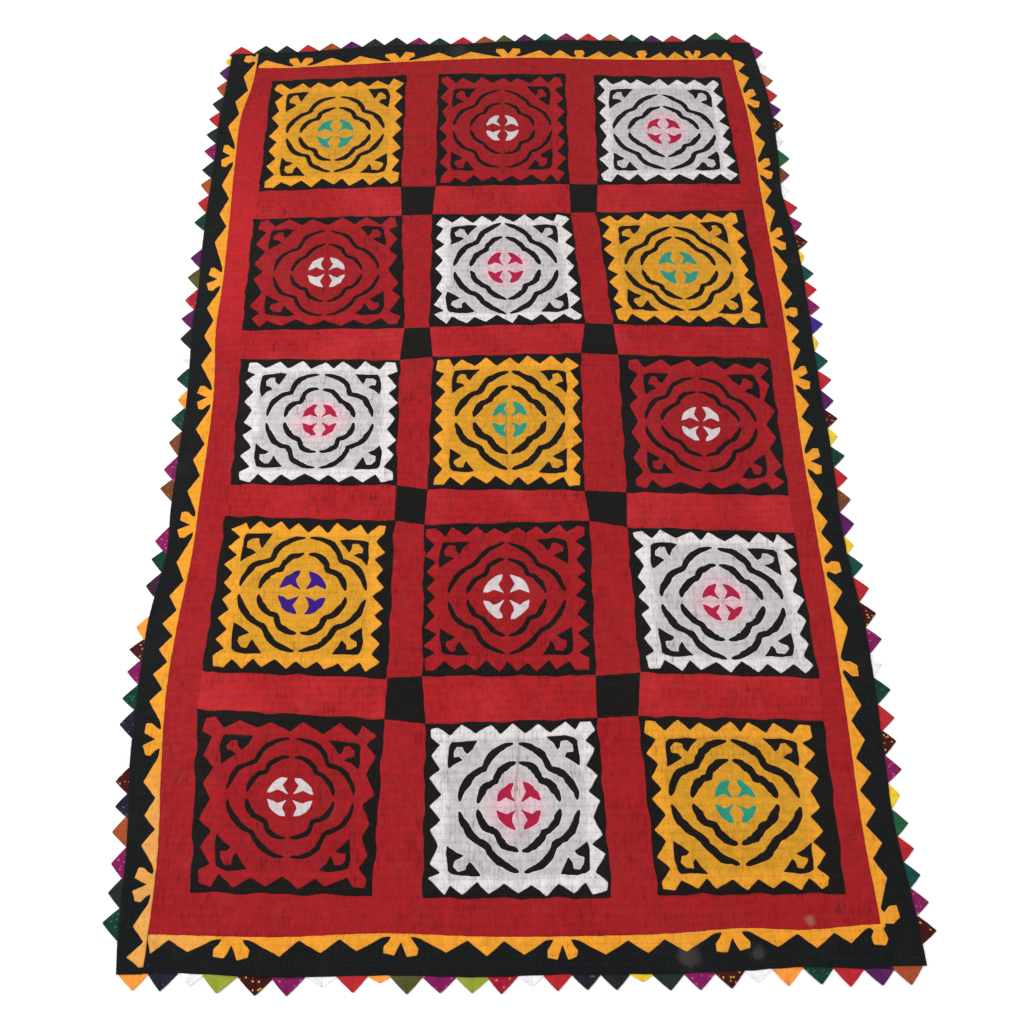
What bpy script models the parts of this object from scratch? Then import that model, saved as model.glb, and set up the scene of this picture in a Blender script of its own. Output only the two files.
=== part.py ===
"""A ralli quilt laid flat, built as the pieces of cloth that a maker cuts and sews.

The quilt lies on z = 0, its width along X and its length along Y, with the origin under the middle of
its outline. Every size is a real one in millimetres, and MM turns it into metres. Places in the tables
are counted from near the middle of the red field, and MIDDLE is where the whole outline's middle lies.
"""

import random
from typing import NamedTuple

import bmesh
import bpy
import numpy as np

MM = 0.001
GAP = 0.3
MIDDLE = (4.8, 3.7)
PLAN = "quilt_plan"  # the empty that carries every piece and moves the outline's middle to the origin

# The quilted body
STITCHED_THICKNESS = 2.5  # where a row of stitches draws the layers together
PUFF = 0.6  # how far the cloth swells between two rows
ROW_PITCH = 15.0
ROW_WAVER = 4.0  # how far a row strays from a straight line
BODY_INSET = 6.0  # the black border covers the body's edge by this much
BODY_COLUMNS = 2

# The pieces sewn on it
CLOTH = 1.0  # a cloth with its seam allowance folded under
GROUND_Z = STITCHED_THICKNESS + PUFF + GAP
APPLIQUE_Z = GROUND_Z + CLOTH + GAP
POINT_THICKNESS = 1.2  # a folded prairie point, four layers of scrap cloth
POINT_LENGTH = 27.0
STATION_PITCH = 95.0  # points along an edge line
CORNERSTONE_INSET = 1.2
BUTT_GAP = 1.5  # between the end of a cross strip and the side strip that it meets

# The sawtooth strips
TOOTH_HEIGHT = 27.0
VALLEY_HEIGHT = 6.0
FORK_REACH = 40.0  # half the length of strip that a forked leaf pair takes
# A forked leaf pair, as (along, out): two blunt lobes that lean apart, with a notch cut beside each
FORK = ((-37, 4), (-25, 9), (-37, 26), (-24, 34), (0, 10), (24, 34), (37, 26), (25, 9))


class Side(NamedTuple):
    """One side of the quilt. The columns of rows are: how far along, red field's edge, outer edge."""

    upright: bool
    outward: int
    points: int
    strip: tuple  # where the sawtooth strip starts and ends
    forks: tuple  # the place of each forked leaf pair along the side, and the teeth that stand before it
    last_teeth: int
    rows: tuple


SIDES = {
    "left": Side(
        upright=True,
        outward=-1,
        points=40,
        strip=(1100, -1112),
        forks=((736, 4), (353, 3), (28, 3), (-283, 3), (-725, 6), (-975, 3)),
        last_teeth=2,
        rows=(
            (1116, -621, -690),
            (982, -628, -695),
            (882, -645, -700),
            (716, -646, -698),
            (494, -640, -698),
            (327, -637, -692),
            (216, -639, -693),
            (50, -626, -683),
            (-228, -626, -683),
            (-339, -627, -679),
            (-505, -639, -697),
            (-616, -643, -697),
            (-783, -633, -690),
            (-927, -620, -675),
            (-1060, -619, -670),
            (-1122, -620, -663),
        ),
    ),
    "right": Side(
        upright=True,
        outward=1,
        points=41,
        strip=(1050, -1056),
        forks=((910, 2), (668, 2), (444, 2), (233, 2), (56, 2), (-150, 2), (-389, 3), (-616, 2)),
        last_teeth=7,
        rows=(
            (1116, 631, 684),
            (993, 637, 700),
            (882, 646, 708),
            (716, 649, 705),
            (605, 647, 697),
            (438, 649, 710),
            (216, 650, 708),
            (50, 646, 702),
            (-117, 641, 701),
            (-339, 641, 693),
            (-538, 642, 703),
            (-727, 638, 697),
            (-894, 633, 690),
            (-1060, 637, 700),
            (-1122, 638, 701),
        ),
    ),
    "top": Side(
        upright=False,
        outward=1,
        points=24,
        strip=(-617, 630),
        forks=((-506, 1), (-243, 2), (45, 2), (231, 2), (398, 2), (529, 2)),
        last_teeth=2,
        rows=(
            (-692, 1051, 1104),
            (-617, 1050, 1107),
            (-511, 1049, 1107),
            (-405, 1056, 1118),
            (-246, 1063, 1131),
            (-109, 1068, 1128),
            (40, 1072, 1134),
            (178, 1068, 1138),
            (337, 1059, 1130),
            (496, 1054, 1124),
            (602, 1052, 1129),
            (697, 1051, 1113),
        ),
    ),
    "bottom": Side(
        upright=False,
        outward=-1,
        points=27,
        strip=(-617, 634),
        forks=((-474, 2), (-188, 3), (85, 3), (377, 3)),
        last_teeth=3,
        rows=(
            (-665, -1060, -1122),
            (-564, -1063, -1121),
            (-405, -1068, -1129),
            (-215, -1064, -1128),
            (-34, -1071, -1132),
            (103, -1072, -1129),
            (284, -1069, -1130),
            (411, -1062, -1126),
            (496, -1066, -1122),
            (633, -1058, -1126),
            (702, -1058, -1122),
        ),
    ),
}


class Block(NamedTuple):
    """A block: its panel's cloth and teeth on a side, its black square's corners, the margins shown."""

    cloth: str
    teeth: int
    top_left: tuple
    top_right: tuple
    bottom_right: tuple
    bottom_left: tuple
    margins: tuple  # left, right, top, bottom


# Rows run from the top of the quilt down, and each holds its blocks from left to right.
BLOCKS = (
    (
        Block("yellow", 5, (-578, 1001), (-225, 1013), (-229, 627), (-577, 619), (10, 3, 11, 7)),
        Block("red", 5, (-142, 1016), (190, 1008), (183, 627), (-144, 626), (7, 6, 11, 7)),
        Block("white", 5, (264, 1001), (593, 986), (602, 619), (252, 624), (7, 4, 9, 7)),
    ),
    (
        Block("red", 4, (-582, 531), (-225, 535), (-210, 203), (-579, 203), (13, 8, 3, 6)),
        Block("white", 5, (-151, 536), (182, 535), (199, 209), (-153, 205), (8, 3, 4, 4)),
        Block("yellow", 5, (244, 535), (595, 535), (610, 188), (262, 205), (5, 11, 6, 7)),
    ),
    (
        Block("white", 5, (-572, 125), (-218, 117), (-217, -198), (-564, -191), (14, 3, 4, 4)),
        Block("yellow", 5, (-145, 124), (185, 128), (175, -216), (-151, -209), (7, 3, 6, 8)),
        Block("red", 4, (268, 122), (602, 107), (596, -235), (262, -222), (16, 4, 11, 8)),
    ),
    (
        Block("yellow", 6, (-567, -264), (-218, -281), (-222, -613), (-578, -595), (13, 13, 8, 7)),
        Block("red", 6, (-157, -290), (182, -286), (175, -613), (-156, -610), (6, 11, 8, 7)),
        Block("white", 5, (257, -302), (594, -319), (598, -624), (260, -608), (8, 4, 4, 6)),
    ),
    (
        Block("red", 4, (-578, -668), (-225, -692), (-236, -1002), (-553, -993), (11, 8, 13, 9)),
        Block("white", 5, (-148, -702), (173, -695), (180, -1010), (-148, -1007), (8, 4, 3, 4)),
        Block("yellow", 5, (250, -692), (593, -705), (584, -1007), (259, -1006), (7, 23, 6, 6)),
    ),
)

# The cut-work panel on a square from -1 to 1, its tooth tips on the edges
VALLEY = 0.86  # how far out the valleys between the teeth lie
FIRST_VALLEY = 0.74  # where the row of teeth starts beside the corner lug
LUG = 0.88  # where the lug's blunt end leaves the edge
TOOTH_JITTER = 0.18  # of a tooth's width
RING_RADII = (0.72, 0.49)
SLOT_HALF_WIDTH = 0.028
# A slot's middle line in one quarter, of the ring's radius: two bulging halves that meet in a cusp
SLOT_LINE = ((0.10, 0.96), (0.42, 0.87), (0.60, 0.58), (0.87, 0.42), (0.97, 0.09))
# The corner cut-out: an L whose inner side holds a bud of cloth between two barbs
CORNER_CUT = ((0.46, 0.81), (0.81, 0.80), (0.80, 0.46), (0.68, 0.58), (0.71, 0.70), (0.58, 0.68))
# A middle cut-out: a swallow tail with a rounded back
SWALLOW_CUT = ((0.05, 0.27), (0.21, 0.19), (0.27, 0.03), (0.15, 0.09), (0.06, 0.03))
QUARTERS = ((1, 1), (-1, 1), (-1, -1), (1, -1))

# Cloth colours, as linear red, green and blue
COLOURS = {
    "ground": (0.43, 0.022, 0.026),
    "black": (0.012, 0.012, 0.012),
    "yellow": (0.78, 0.36, 0.018),
    "red": (0.38, 0.014, 0.024),
    "white": (0.66, 0.64, 0.66),
    "scrap": (0.16, 0.018, 0.05),
}
ROUGHNESS = 0.92


def remove_everything():
    """Empties the scene of objects."""
    for thing in list(bpy.data.objects):
        bpy.data.objects.remove(thing, do_unlink=True)


def cloth_material(name):
    """A matt cloth of one colour."""
    material = bpy.data.materials.new(name + "_cloth")
    material.use_nodes = True
    shader = material.node_tree.nodes["Principled BSDF"]
    shader.inputs["Base Color"].default_value = (*COLOURS[name], 1.0)
    shader.inputs["Roughness"].default_value = ROUGHNESS
    shader.inputs["Metallic"].default_value = 0.0
    return material


def through(rows, column):
    """A smooth line through the rows of a table: value of that column at any place along."""
    rows = sorted(rows)
    along = np.array([row[0] for row in rows], float)
    value = np.array([row[column] for row in rows], float)
    slope = np.gradient(value, along)

    def at(place):
        place = float(np.clip(place, along[0], along[-1]))
        i = min(int(np.searchsorted(along, place, side="right")) - 1, len(along) - 2)
        span = along[i + 1] - along[i]
        t = (place - along[i]) / span
        start = (1 + 2 * t) * (1 - t) ** 2 * value[i] + t * (1 - t) ** 2 * span * slope[i]
        end = t * t * (3 - 2 * t) * value[i + 1] + t * t * (t - 1) * span * slope[i + 1]
        return start + end

    return at


RED_EDGE = {name: through(side.rows, 1) for name, side in SIDES.items()}
OUTER_EDGE = {name: through(side.rows, 2) for name, side in SIDES.items()}


def place_on(name, along, out):
    """The point of the plan at a place along a side and a distance across it."""
    return (out, along) if SIDES[name].upright else (along, out)


def corner(upright, level, inset):
    """Where two outer edge lines, moved in by inset, cross."""
    x, y = OUTER_EDGE[upright](0), OUTER_EDGE[level](0)
    for _ in range(4):
        x = OUTER_EDGE[upright](y) - SIDES[upright].outward * inset
        y = OUTER_EDGE[level](x) - SIDES[level].outward * inset
    return x, y


def stations(name, inset):
    """Places along a side, from one corner of the outline moved in by inset to the other."""
    if SIDES[name].upright:
        start, end = corner(name, "bottom", inset)[1], corner(name, "top", inset)[1]
    else:
        start, end = corner("left", name, inset)[0], corner("right", name, inset)[0]
    return np.linspace(start, end, round((end - start) / STATION_PITCH) + 1)


def edge_line(name, edge, inset, places):
    """Points on an edge line of a side, moved in by inset, at the places given."""
    outward = SIDES[name].outward
    return [place_on(name, s, edge[name](s) - outward * inset) for s in places]


def body_outline():
    """The quilted body's outline, anticlockwise from its lower left corner."""
    lines = {name: edge_line(name, OUTER_EDGE, BODY_INSET, stations(name, BODY_INSET)) for name in SIDES}
    loop = lines["bottom"] + lines["right"][1:] + lines["top"][-2::-1] + lines["left"][-2:0:-1]
    loop[0] = corner("left", "bottom", BODY_INSET)
    return loop


def add_object(name, mesh, material, collection):
    """Puts a mesh into the collection as a named object with its material, held by the plan's empty."""
    thing = bpy.data.objects.new(name, mesh)
    collection.objects.link(thing)
    thing.parent = collection.objects[PLAN]
    mesh.materials.clear()
    mesh.materials.append(material)
    return thing


def close_mesh(mesh):
    """Welds a mesh and turns its faces out."""
    shape = bmesh.new()
    shape.from_mesh(mesh)
    bmesh.ops.remove_doubles(shape, verts=shape.verts, dist=0.02 * MM)
    bmesh.ops.recalc_face_normals(shape, faces=shape.faces)
    shape.to_mesh(mesh)
    shape.free()


def plate(name, loops, bottom, thickness, material, collection):
    """A flat piece of cloth: its outline, then its cut-outs, drawn as one filled curve."""
    drawing = bpy.data.curves.new(name + "_outline", "CURVE")
    drawing.dimensions = "2D"
    drawing.fill_mode = "BOTH"
    drawing.extrude = thickness / 2 * MM
    for loop in loops:
        spline = drawing.splines.new("POLY")
        spline.points.add(len(loop) - 1)
        for point, (x, y) in zip(spline.points, loop):
            point.co = (x * MM, y * MM, 0.0, 1.0)
        spline.use_cyclic_u = True
    drawn = bpy.data.objects.new(name + "_outline", drawing)
    collection.objects.link(drawn)
    graph = bpy.context.evaluated_depsgraph_get()
    mesh = bpy.data.meshes.new_from_object(drawn.evaluated_get(graph))
    bpy.data.objects.remove(drawn)
    close_mesh(mesh)
    piece = add_object(name, mesh, material, collection)
    piece.location.z = (bottom + thickness / 2) * MM
    return piece


def row_puff(y):
    """How far the cloth swells at a place along the quilt: nothing on a row, all of it between two."""
    return PUFF * (0.5 - 0.5 * np.cos(2 * np.pi * y / ROW_PITCH))


def row_waver(x, y):
    """How far a row of stitches strays from a straight line."""
    return ROW_WAVER * np.sin(x / 310 + 1.3 * np.sin(y / 270)) * np.cos(y / 410)


def quilted_body(material, collection):
    """The layered ground: its rows of stitches are grooves across the top, and it is flat below."""
    outline = body_outline()
    shape = bmesh.new()
    shape.faces.new([shape.verts.new((x * MM, y * MM, 0)) for x, y in outline])
    xs, ys = zip(*outline)
    columns = np.linspace(min(xs), max(xs), BODY_COLUMNS + 1)[1:-1]
    half_rows = np.arange(np.ceil(min(ys) / ROW_PITCH * 2), max(ys) / ROW_PITCH * 2) * ROW_PITCH / 2
    cuts = [((x * MM, 0, 0), (1, 0, 0)) for x in columns]
    cuts += [((0, y * MM, 0), (0, 1, 0)) for y in half_rows]
    for place, across in cuts:
        everything = shape.verts[:] + shape.edges[:] + shape.faces[:]
        bmesh.ops.bisect_plane(shape, geom=everything, plane_co=place, plane_no=across, dist=0.01 * MM)
    bmesh.ops.recalc_face_normals(shape, faces=shape.faces)
    inner = [v for v in shape.verts if not v.is_boundary]
    for vert in shape.verts:
        vert.co.z = (STITCHED_THICKNESS + row_puff(vert.co.y / MM)) * MM
    for vert in inner:
        vert.co.y += row_waver(vert.co.x / MM, vert.co.y / MM) * MM
    below = bmesh.ops.extrude_face_region(shape, geom=shape.faces[:])["geom"]
    for vert in below:
        if isinstance(vert, bmesh.types.BMVert):
            vert.co.z = 0.0
    bmesh.ops.dissolve_limit(shape, angle_limit=np.radians(0.05), verts=shape.verts, edges=shape.edges)
    bmesh.ops.recalc_face_normals(shape, faces=shape.faces)
    mesh = bpy.data.meshes.new("quilt_body")
    shape.to_mesh(mesh)
    shape.free()
    return add_object("quilt_body", mesh, material, collection)


def in_quad(corners, u, v):
    """The point of a four-cornered field at u and v, each from -1 to 1."""
    top_left, top_right, bottom_right, bottom_left = (np.array(c, float) for c in corners)
    right, up = (1 + u) / 2, (1 + v) / 2
    top = top_left * (1 - right) + top_right * right
    bottom = bottom_left * (1 - right) + bottom_right * right
    return tuple(bottom * (1 - up) + top * up)


def panel_field(block):
    """The corners of the field that the panel's tooth tips reach: the black square less its margins."""
    left, right, top, bottom = block.margins
    moves = ((left, -top), (-right, -top), (-right, bottom), (left, bottom))
    return [(x + dx, y + dy) for (x, y), (dx, dy) in zip(block[2:6], moves)]


def sawtooth_side(teeth, dice):
    """One side of the panel's edge, from -1 to 1: the lug's end, then valleys and tips by turns."""
    width = 2 * FIRST_VALLEY / teeth
    side = [(-LUG, 1.0), (-FIRST_VALLEY, VALLEY)]
    for tooth in range(teeth):
        middle = -FIRST_VALLEY + (tooth + 0.5) * width
        side.append((middle + dice.uniform(-1, 1) * TOOTH_JITTER * width, 1 - dice.uniform(0, 0.03)))
        side.append((middle + width / 2, VALLEY - dice.uniform(-0.02, 0.02)))
    side.append((LUG, 1.0))
    return side


def panel_edge(teeth, dice):
    """The panel's outline on its square: four sawtooth sides with a blunt lug at each corner."""
    turns = (lambda a, b: (a, b), lambda a, b: (b, -a), lambda a, b: (-a, -b), lambda a, b: (-b, a))
    return [turn(a, b) for turn in turns for a, b in sawtooth_side(teeth, dice)]


def ring_slot(radius):
    """A slot of the ring in the first quarter: its middle line widened, with both ends pointed."""
    wide = SLOT_HALF_WIDTH / radius
    line = [(x * radius, y * radius) for x, y in SLOT_LINE]
    outer = [(x * (1 + wide), y * (1 + wide)) for x, y in line[1:-1]]
    inner = [(x * (1 - wide), y * (1 - wide)) for x, y in line[1:-1]]
    return [line[0], *outer, line[-1], *reversed(inner)]


def panel_cuts():
    """The sixteen cut-outs of a panel on its square, four in each quarter."""
    first_quarter = [ring_slot(radius) for radius in RING_RADII] + [CORNER_CUT, SWALLOW_CUT]
    return [[(x * i, y * j) for x, y in cut] for i, j in QUARTERS for cut in first_quarter]


def motif_points(side, outward_height):
    """The outer line of a sawtooth strip: (place along, height) of its teeth and forked leaf pairs."""
    here, end = side.strip
    step = 1 if end > here else -1
    line = []

    def add_teeth(count, stop):
        width = (stop - here) / count
        for tooth in range(count):
            line.append((here + tooth * width, VALLEY_HEIGHT))
            line.append((here + (tooth + 0.5) * width, outward_height))

    for place, teeth in side.forks:
        add_teeth(teeth, place - step * FORK_REACH)
        line.extend((place + step * a, b) for a, b in FORK)
        here = place + step * FORK_REACH
    add_teeth(side.last_teeth, end)
    line.append((end, VALLEY_HEIGHT))
    return line if step > 0 else line[::-1]


def sawtooth_strip(name, material, collection):
    """A yellow strip: straight along the red field, toothed on its outer side."""
    side = SIDES[name]
    line = motif_points(side, TOOTH_HEIGHT)
    inner = edge_line(name, RED_EDGE, 0, np.arange(line[0][0], line[-1][0], STATION_PITCH))
    inner.append(edge_line(name, RED_EDGE, 0, [line[-1][0]])[0])
    outer = [place_on(name, s, RED_EDGE[name](s) + side.outward * h) for s, h in line]
    plate(name + "_sawtooth_strip", [inner + outer[::-1]], APPLIQUE_Z, CLOTH, material, collection)


def cross_strip_span(name):
    """From where to where a top or bottom strip runs: between the two side strips, which pass its ends."""
    heights = np.linspace(RED_EDGE[name](0), OUTER_EDGE[name](0), 12) * 1.02
    left = max(RED_EDGE["left"](y) for y in heights)
    right = min(RED_EDGE["right"](y) for y in heights)
    return left + BUTT_GAP, right - BUTT_GAP


def border_strip(name, trim, material, collection):
    """A black strip of the outer border, from the red field to the quilt's edge."""
    places = np.clip(stations(name, 0), *trim)
    outline = edge_line(name, RED_EDGE, 0, places) + edge_line(name, OUTER_EDGE, 0, places)[::-1]
    plate(name + "_border_strip", [outline], GROUND_Z, CLOTH, material, collection)


def prairie_points(name, material, collection):
    """A side's row of folded points, fused to the narrow root band that the border covers."""
    side = SIDES[name]
    dice = random.Random(name)
    inner = edge_line(name, OUTER_EDGE, BODY_INSET - GAP, stations(name, BODY_INSET))
    first, last = stations(name, 0)[[0, -1]]
    pitch = (last - first) / side.points
    outer = []
    for point in range(side.points):
        start = first + point * pitch
        tip = start + pitch * dice.uniform(0.42, 0.58)
        for place, reach in ((start, 0.5), (tip, POINT_LENGTH * dice.uniform(0.85, 1.1))):
            outer.append(place_on(name, place, OUTER_EDGE[name](place) + side.outward * reach))
    end = last - GAP
    outer.append(place_on(name, end, OUTER_EDGE[name](end)))
    plate(name + "_prairie_points", [inner + outer[::-1]], 0.0, POINT_THICKNESS, material, collection)


def cornerstone(row, column, material, collection):
    """The black square where two sashes cross, between the near corners of four blocks."""
    above, below = BLOCKS[row], BLOCKS[row + 1]
    corners = np.array(
        (
            above[column].bottom_right,
            above[column + 1].bottom_left,
            below[column + 1].top_left,
            below[column].top_right,
        ),
        float,
    )
    inward = np.sign(corners.mean(axis=0) - corners) * CORNERSTONE_INSET
    loop = [tuple(p) for p in corners + inward]
    plate(f"cornerstone_{row + 1}_{column + 1}", [loop], GROUND_Z, CLOTH, material, collection)


def block(row, column, materials, collection):
    """A black ground square and the cut-work panel on it."""
    entry = BLOCKS[row][column]
    label = f"{row + 1}_{column + 1}"
    plate("ground_square_" + label, [entry[2:6]], GROUND_Z, CLOTH, materials["black"], collection)
    field = panel_field(entry)
    dice = random.Random(row * 10 + column)
    drawing = [panel_edge(entry.teeth, dice), *panel_cuts()]
    loops = [[in_quad(field, u, v) for u, v in loop] for loop in drawing]
    plate("cutwork_panel_" + label, loops, APPLIQUE_Z, CLOTH, materials[entry.cloth], collection)


def main():
    """Builds every piece of the quilt."""
    remove_everything()
    collection = bpy.data.collections.new("ralli_quilt")
    bpy.context.scene.collection.children.link(collection)
    plan = bpy.data.objects.new(PLAN, None)
    plan.location = (-MIDDLE[0] * MM, -MIDDLE[1] * MM, 0.0)
    collection.objects.link(plan)
    materials = {name: cloth_material(name) for name in COLOURS}
    quilted_body(materials["ground"], collection)
    for row in range(len(BLOCKS)):
        for column in range(len(BLOCKS[row])):
            block(row, column, materials, collection)
    for row in range(len(BLOCKS) - 1):
        for column in range(len(BLOCKS[row]) - 1):
            cornerstone(row, column, materials["black"], collection)
    trims = {name: cross_strip_span(name) for name in ("top", "bottom")}
    trims["left"] = trims["right"] = (-np.inf, np.inf)
    for name, trim in trims.items():
        border_strip(name, trim, materials["black"], collection)
        sawtooth_strip(name, materials["yellow"], collection)
        prairie_points(name, materials["scrap"], collection)


main()
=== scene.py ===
"""The looks of a ralli quilt laid flat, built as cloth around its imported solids.

The plan's sizes are millimetres from near the middle of the red field, as in the solids. Readings marked
as such are in the units of the straightened photograph, which Reading turns into the plan's millimetres.
"""

import logging
import math
import random
from collections.abc import Iterable, Sequence
from dataclasses import dataclass, field
from enum import Enum

import bmesh
import bpy
import numpy as np
from mathutils import Euler, Matrix, Vector
from mathutils.bvhtree import BVHTree


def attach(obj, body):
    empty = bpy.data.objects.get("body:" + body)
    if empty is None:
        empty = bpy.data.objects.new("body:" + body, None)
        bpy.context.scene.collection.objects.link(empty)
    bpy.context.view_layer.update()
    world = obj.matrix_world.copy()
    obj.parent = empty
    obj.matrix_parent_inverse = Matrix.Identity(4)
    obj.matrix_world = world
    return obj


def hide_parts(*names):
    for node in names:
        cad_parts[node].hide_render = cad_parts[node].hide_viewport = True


logging.basicConfig(level=logging.INFO, format="%(message)s")
log = logging.getLogger("quilt")

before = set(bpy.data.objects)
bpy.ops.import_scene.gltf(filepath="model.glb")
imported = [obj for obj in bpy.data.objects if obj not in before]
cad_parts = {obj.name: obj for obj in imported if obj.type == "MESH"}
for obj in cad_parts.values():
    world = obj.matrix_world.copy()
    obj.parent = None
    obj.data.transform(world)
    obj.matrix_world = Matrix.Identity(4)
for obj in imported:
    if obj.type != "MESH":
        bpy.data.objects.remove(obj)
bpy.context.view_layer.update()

MM = 0.001
MIDDLE = (4.8, 3.7)  # the whole outline's middle in the plan

Spot = tuple[float, float]
Loop = list[Spot]
Colour = tuple[int, int, int]


class Cut(Enum):
    """What stands on a sawtooth strip."""

    TOOTH = "tooth"
    FORK = "forked leaf pair"
    LOBE = "blunt lobe"


class Reading:
    """Places read off the straightened photograph."""

    ACROSS = 1.06  # millimetres to a unit
    ALONG = 1.11
    CENTRE = (582.5, 945.0)

    @staticmethod
    def x(value: float) -> float:
        """A reading across the quilt as the plan's x."""
        return (value - Reading.CENTRE[0]) * Reading.ACROSS

    @staticmethod
    def y(value: float) -> float:
        """A reading down the photograph as the plan's y."""
        return (Reading.CENTRE[1] - value) * Reading.ALONG


class Layer(Enum):
    """How far over the quilted ground a layer's upper face lies, and where its sewn edge dips to, in mm."""

    SASH = (0.30, 0.05)
    GROUND = (0.75, 0.25)
    PATCH = (1.15, 0.85)
    PANEL = (1.70, 0.95)
    STRIP = (1.60, 0.90)


class Scrap(Enum):
    """The scrap cloths of the prairie points: colour, and the colour of its print or None."""

    RED = ((178, 38, 44), None)
    CRIMSON = ((158, 22, 48), (204, 150, 66))
    RUST = ((158, 74, 40), None)
    BROWN = ((112, 60, 38), (150, 96, 60))
    PURPLE = ((84, 28, 86), None)
    PLUM = ((58, 30, 52), None)
    MAGENTA = ((124, 24, 84), (180, 84, 140))
    DARK_GREEN = ((16, 56, 42), (40, 104, 70))
    GREEN = ((34, 90, 56), None)
    BOTTLE = ((32, 42, 34), None)
    BLACK = ((34, 34, 38), None)
    OLIVE = ((78, 80, 38), None)
    PALE = ((240, 236, 240), None)
    LIME = ((146, 156, 50), None)
    ORANGE = ((244, 148, 58), None)
    NAVY = ((30, 31, 44), (70, 76, 104))
    INDIGO = ((62, 34, 124), None)
    MAROON = ((62, 16, 18), (200, 150, 60))
    TEAL = ((14, 72, 66), None)
    YELLOW = ((232, 196, 44), None)


@dataclass(frozen=True)
class Side:
    """One side of the quilt: its edge lines, what stands on its sawtooth strip, and its prairie points."""

    upright: bool
    outward: int
    strip: tuple[float, float]
    motifs: tuple[tuple[Cut, float, float], ...]
    rows: tuple[tuple[float, float, float], ...]  # how far along, red field's edge, outer edge
    points: tuple[tuple, ...]  # reading of the tip, its cloth, and its share of the length if short


def teeth(*places: float) -> tuple[tuple[Cut, float, float], ...]:
    """Plain teeth of a sawtooth strip, by the readings of their tips."""
    return tuple((Cut.TOOTH, place, 0.0) for place in places)


def fork(first: float, second: float) -> tuple[tuple[Cut, float, float], ...]:
    """A forked leaf pair, by the readings of its two lobes."""
    return ((Cut.FORK, first, second),)


def lobe(place: float, lean: float = 0.0) -> tuple[tuple[Cut, float, float], ...]:
    """A single blunt lobe that leans by a share of its height."""
    return ((Cut.LOBE, place, lean),)


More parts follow.
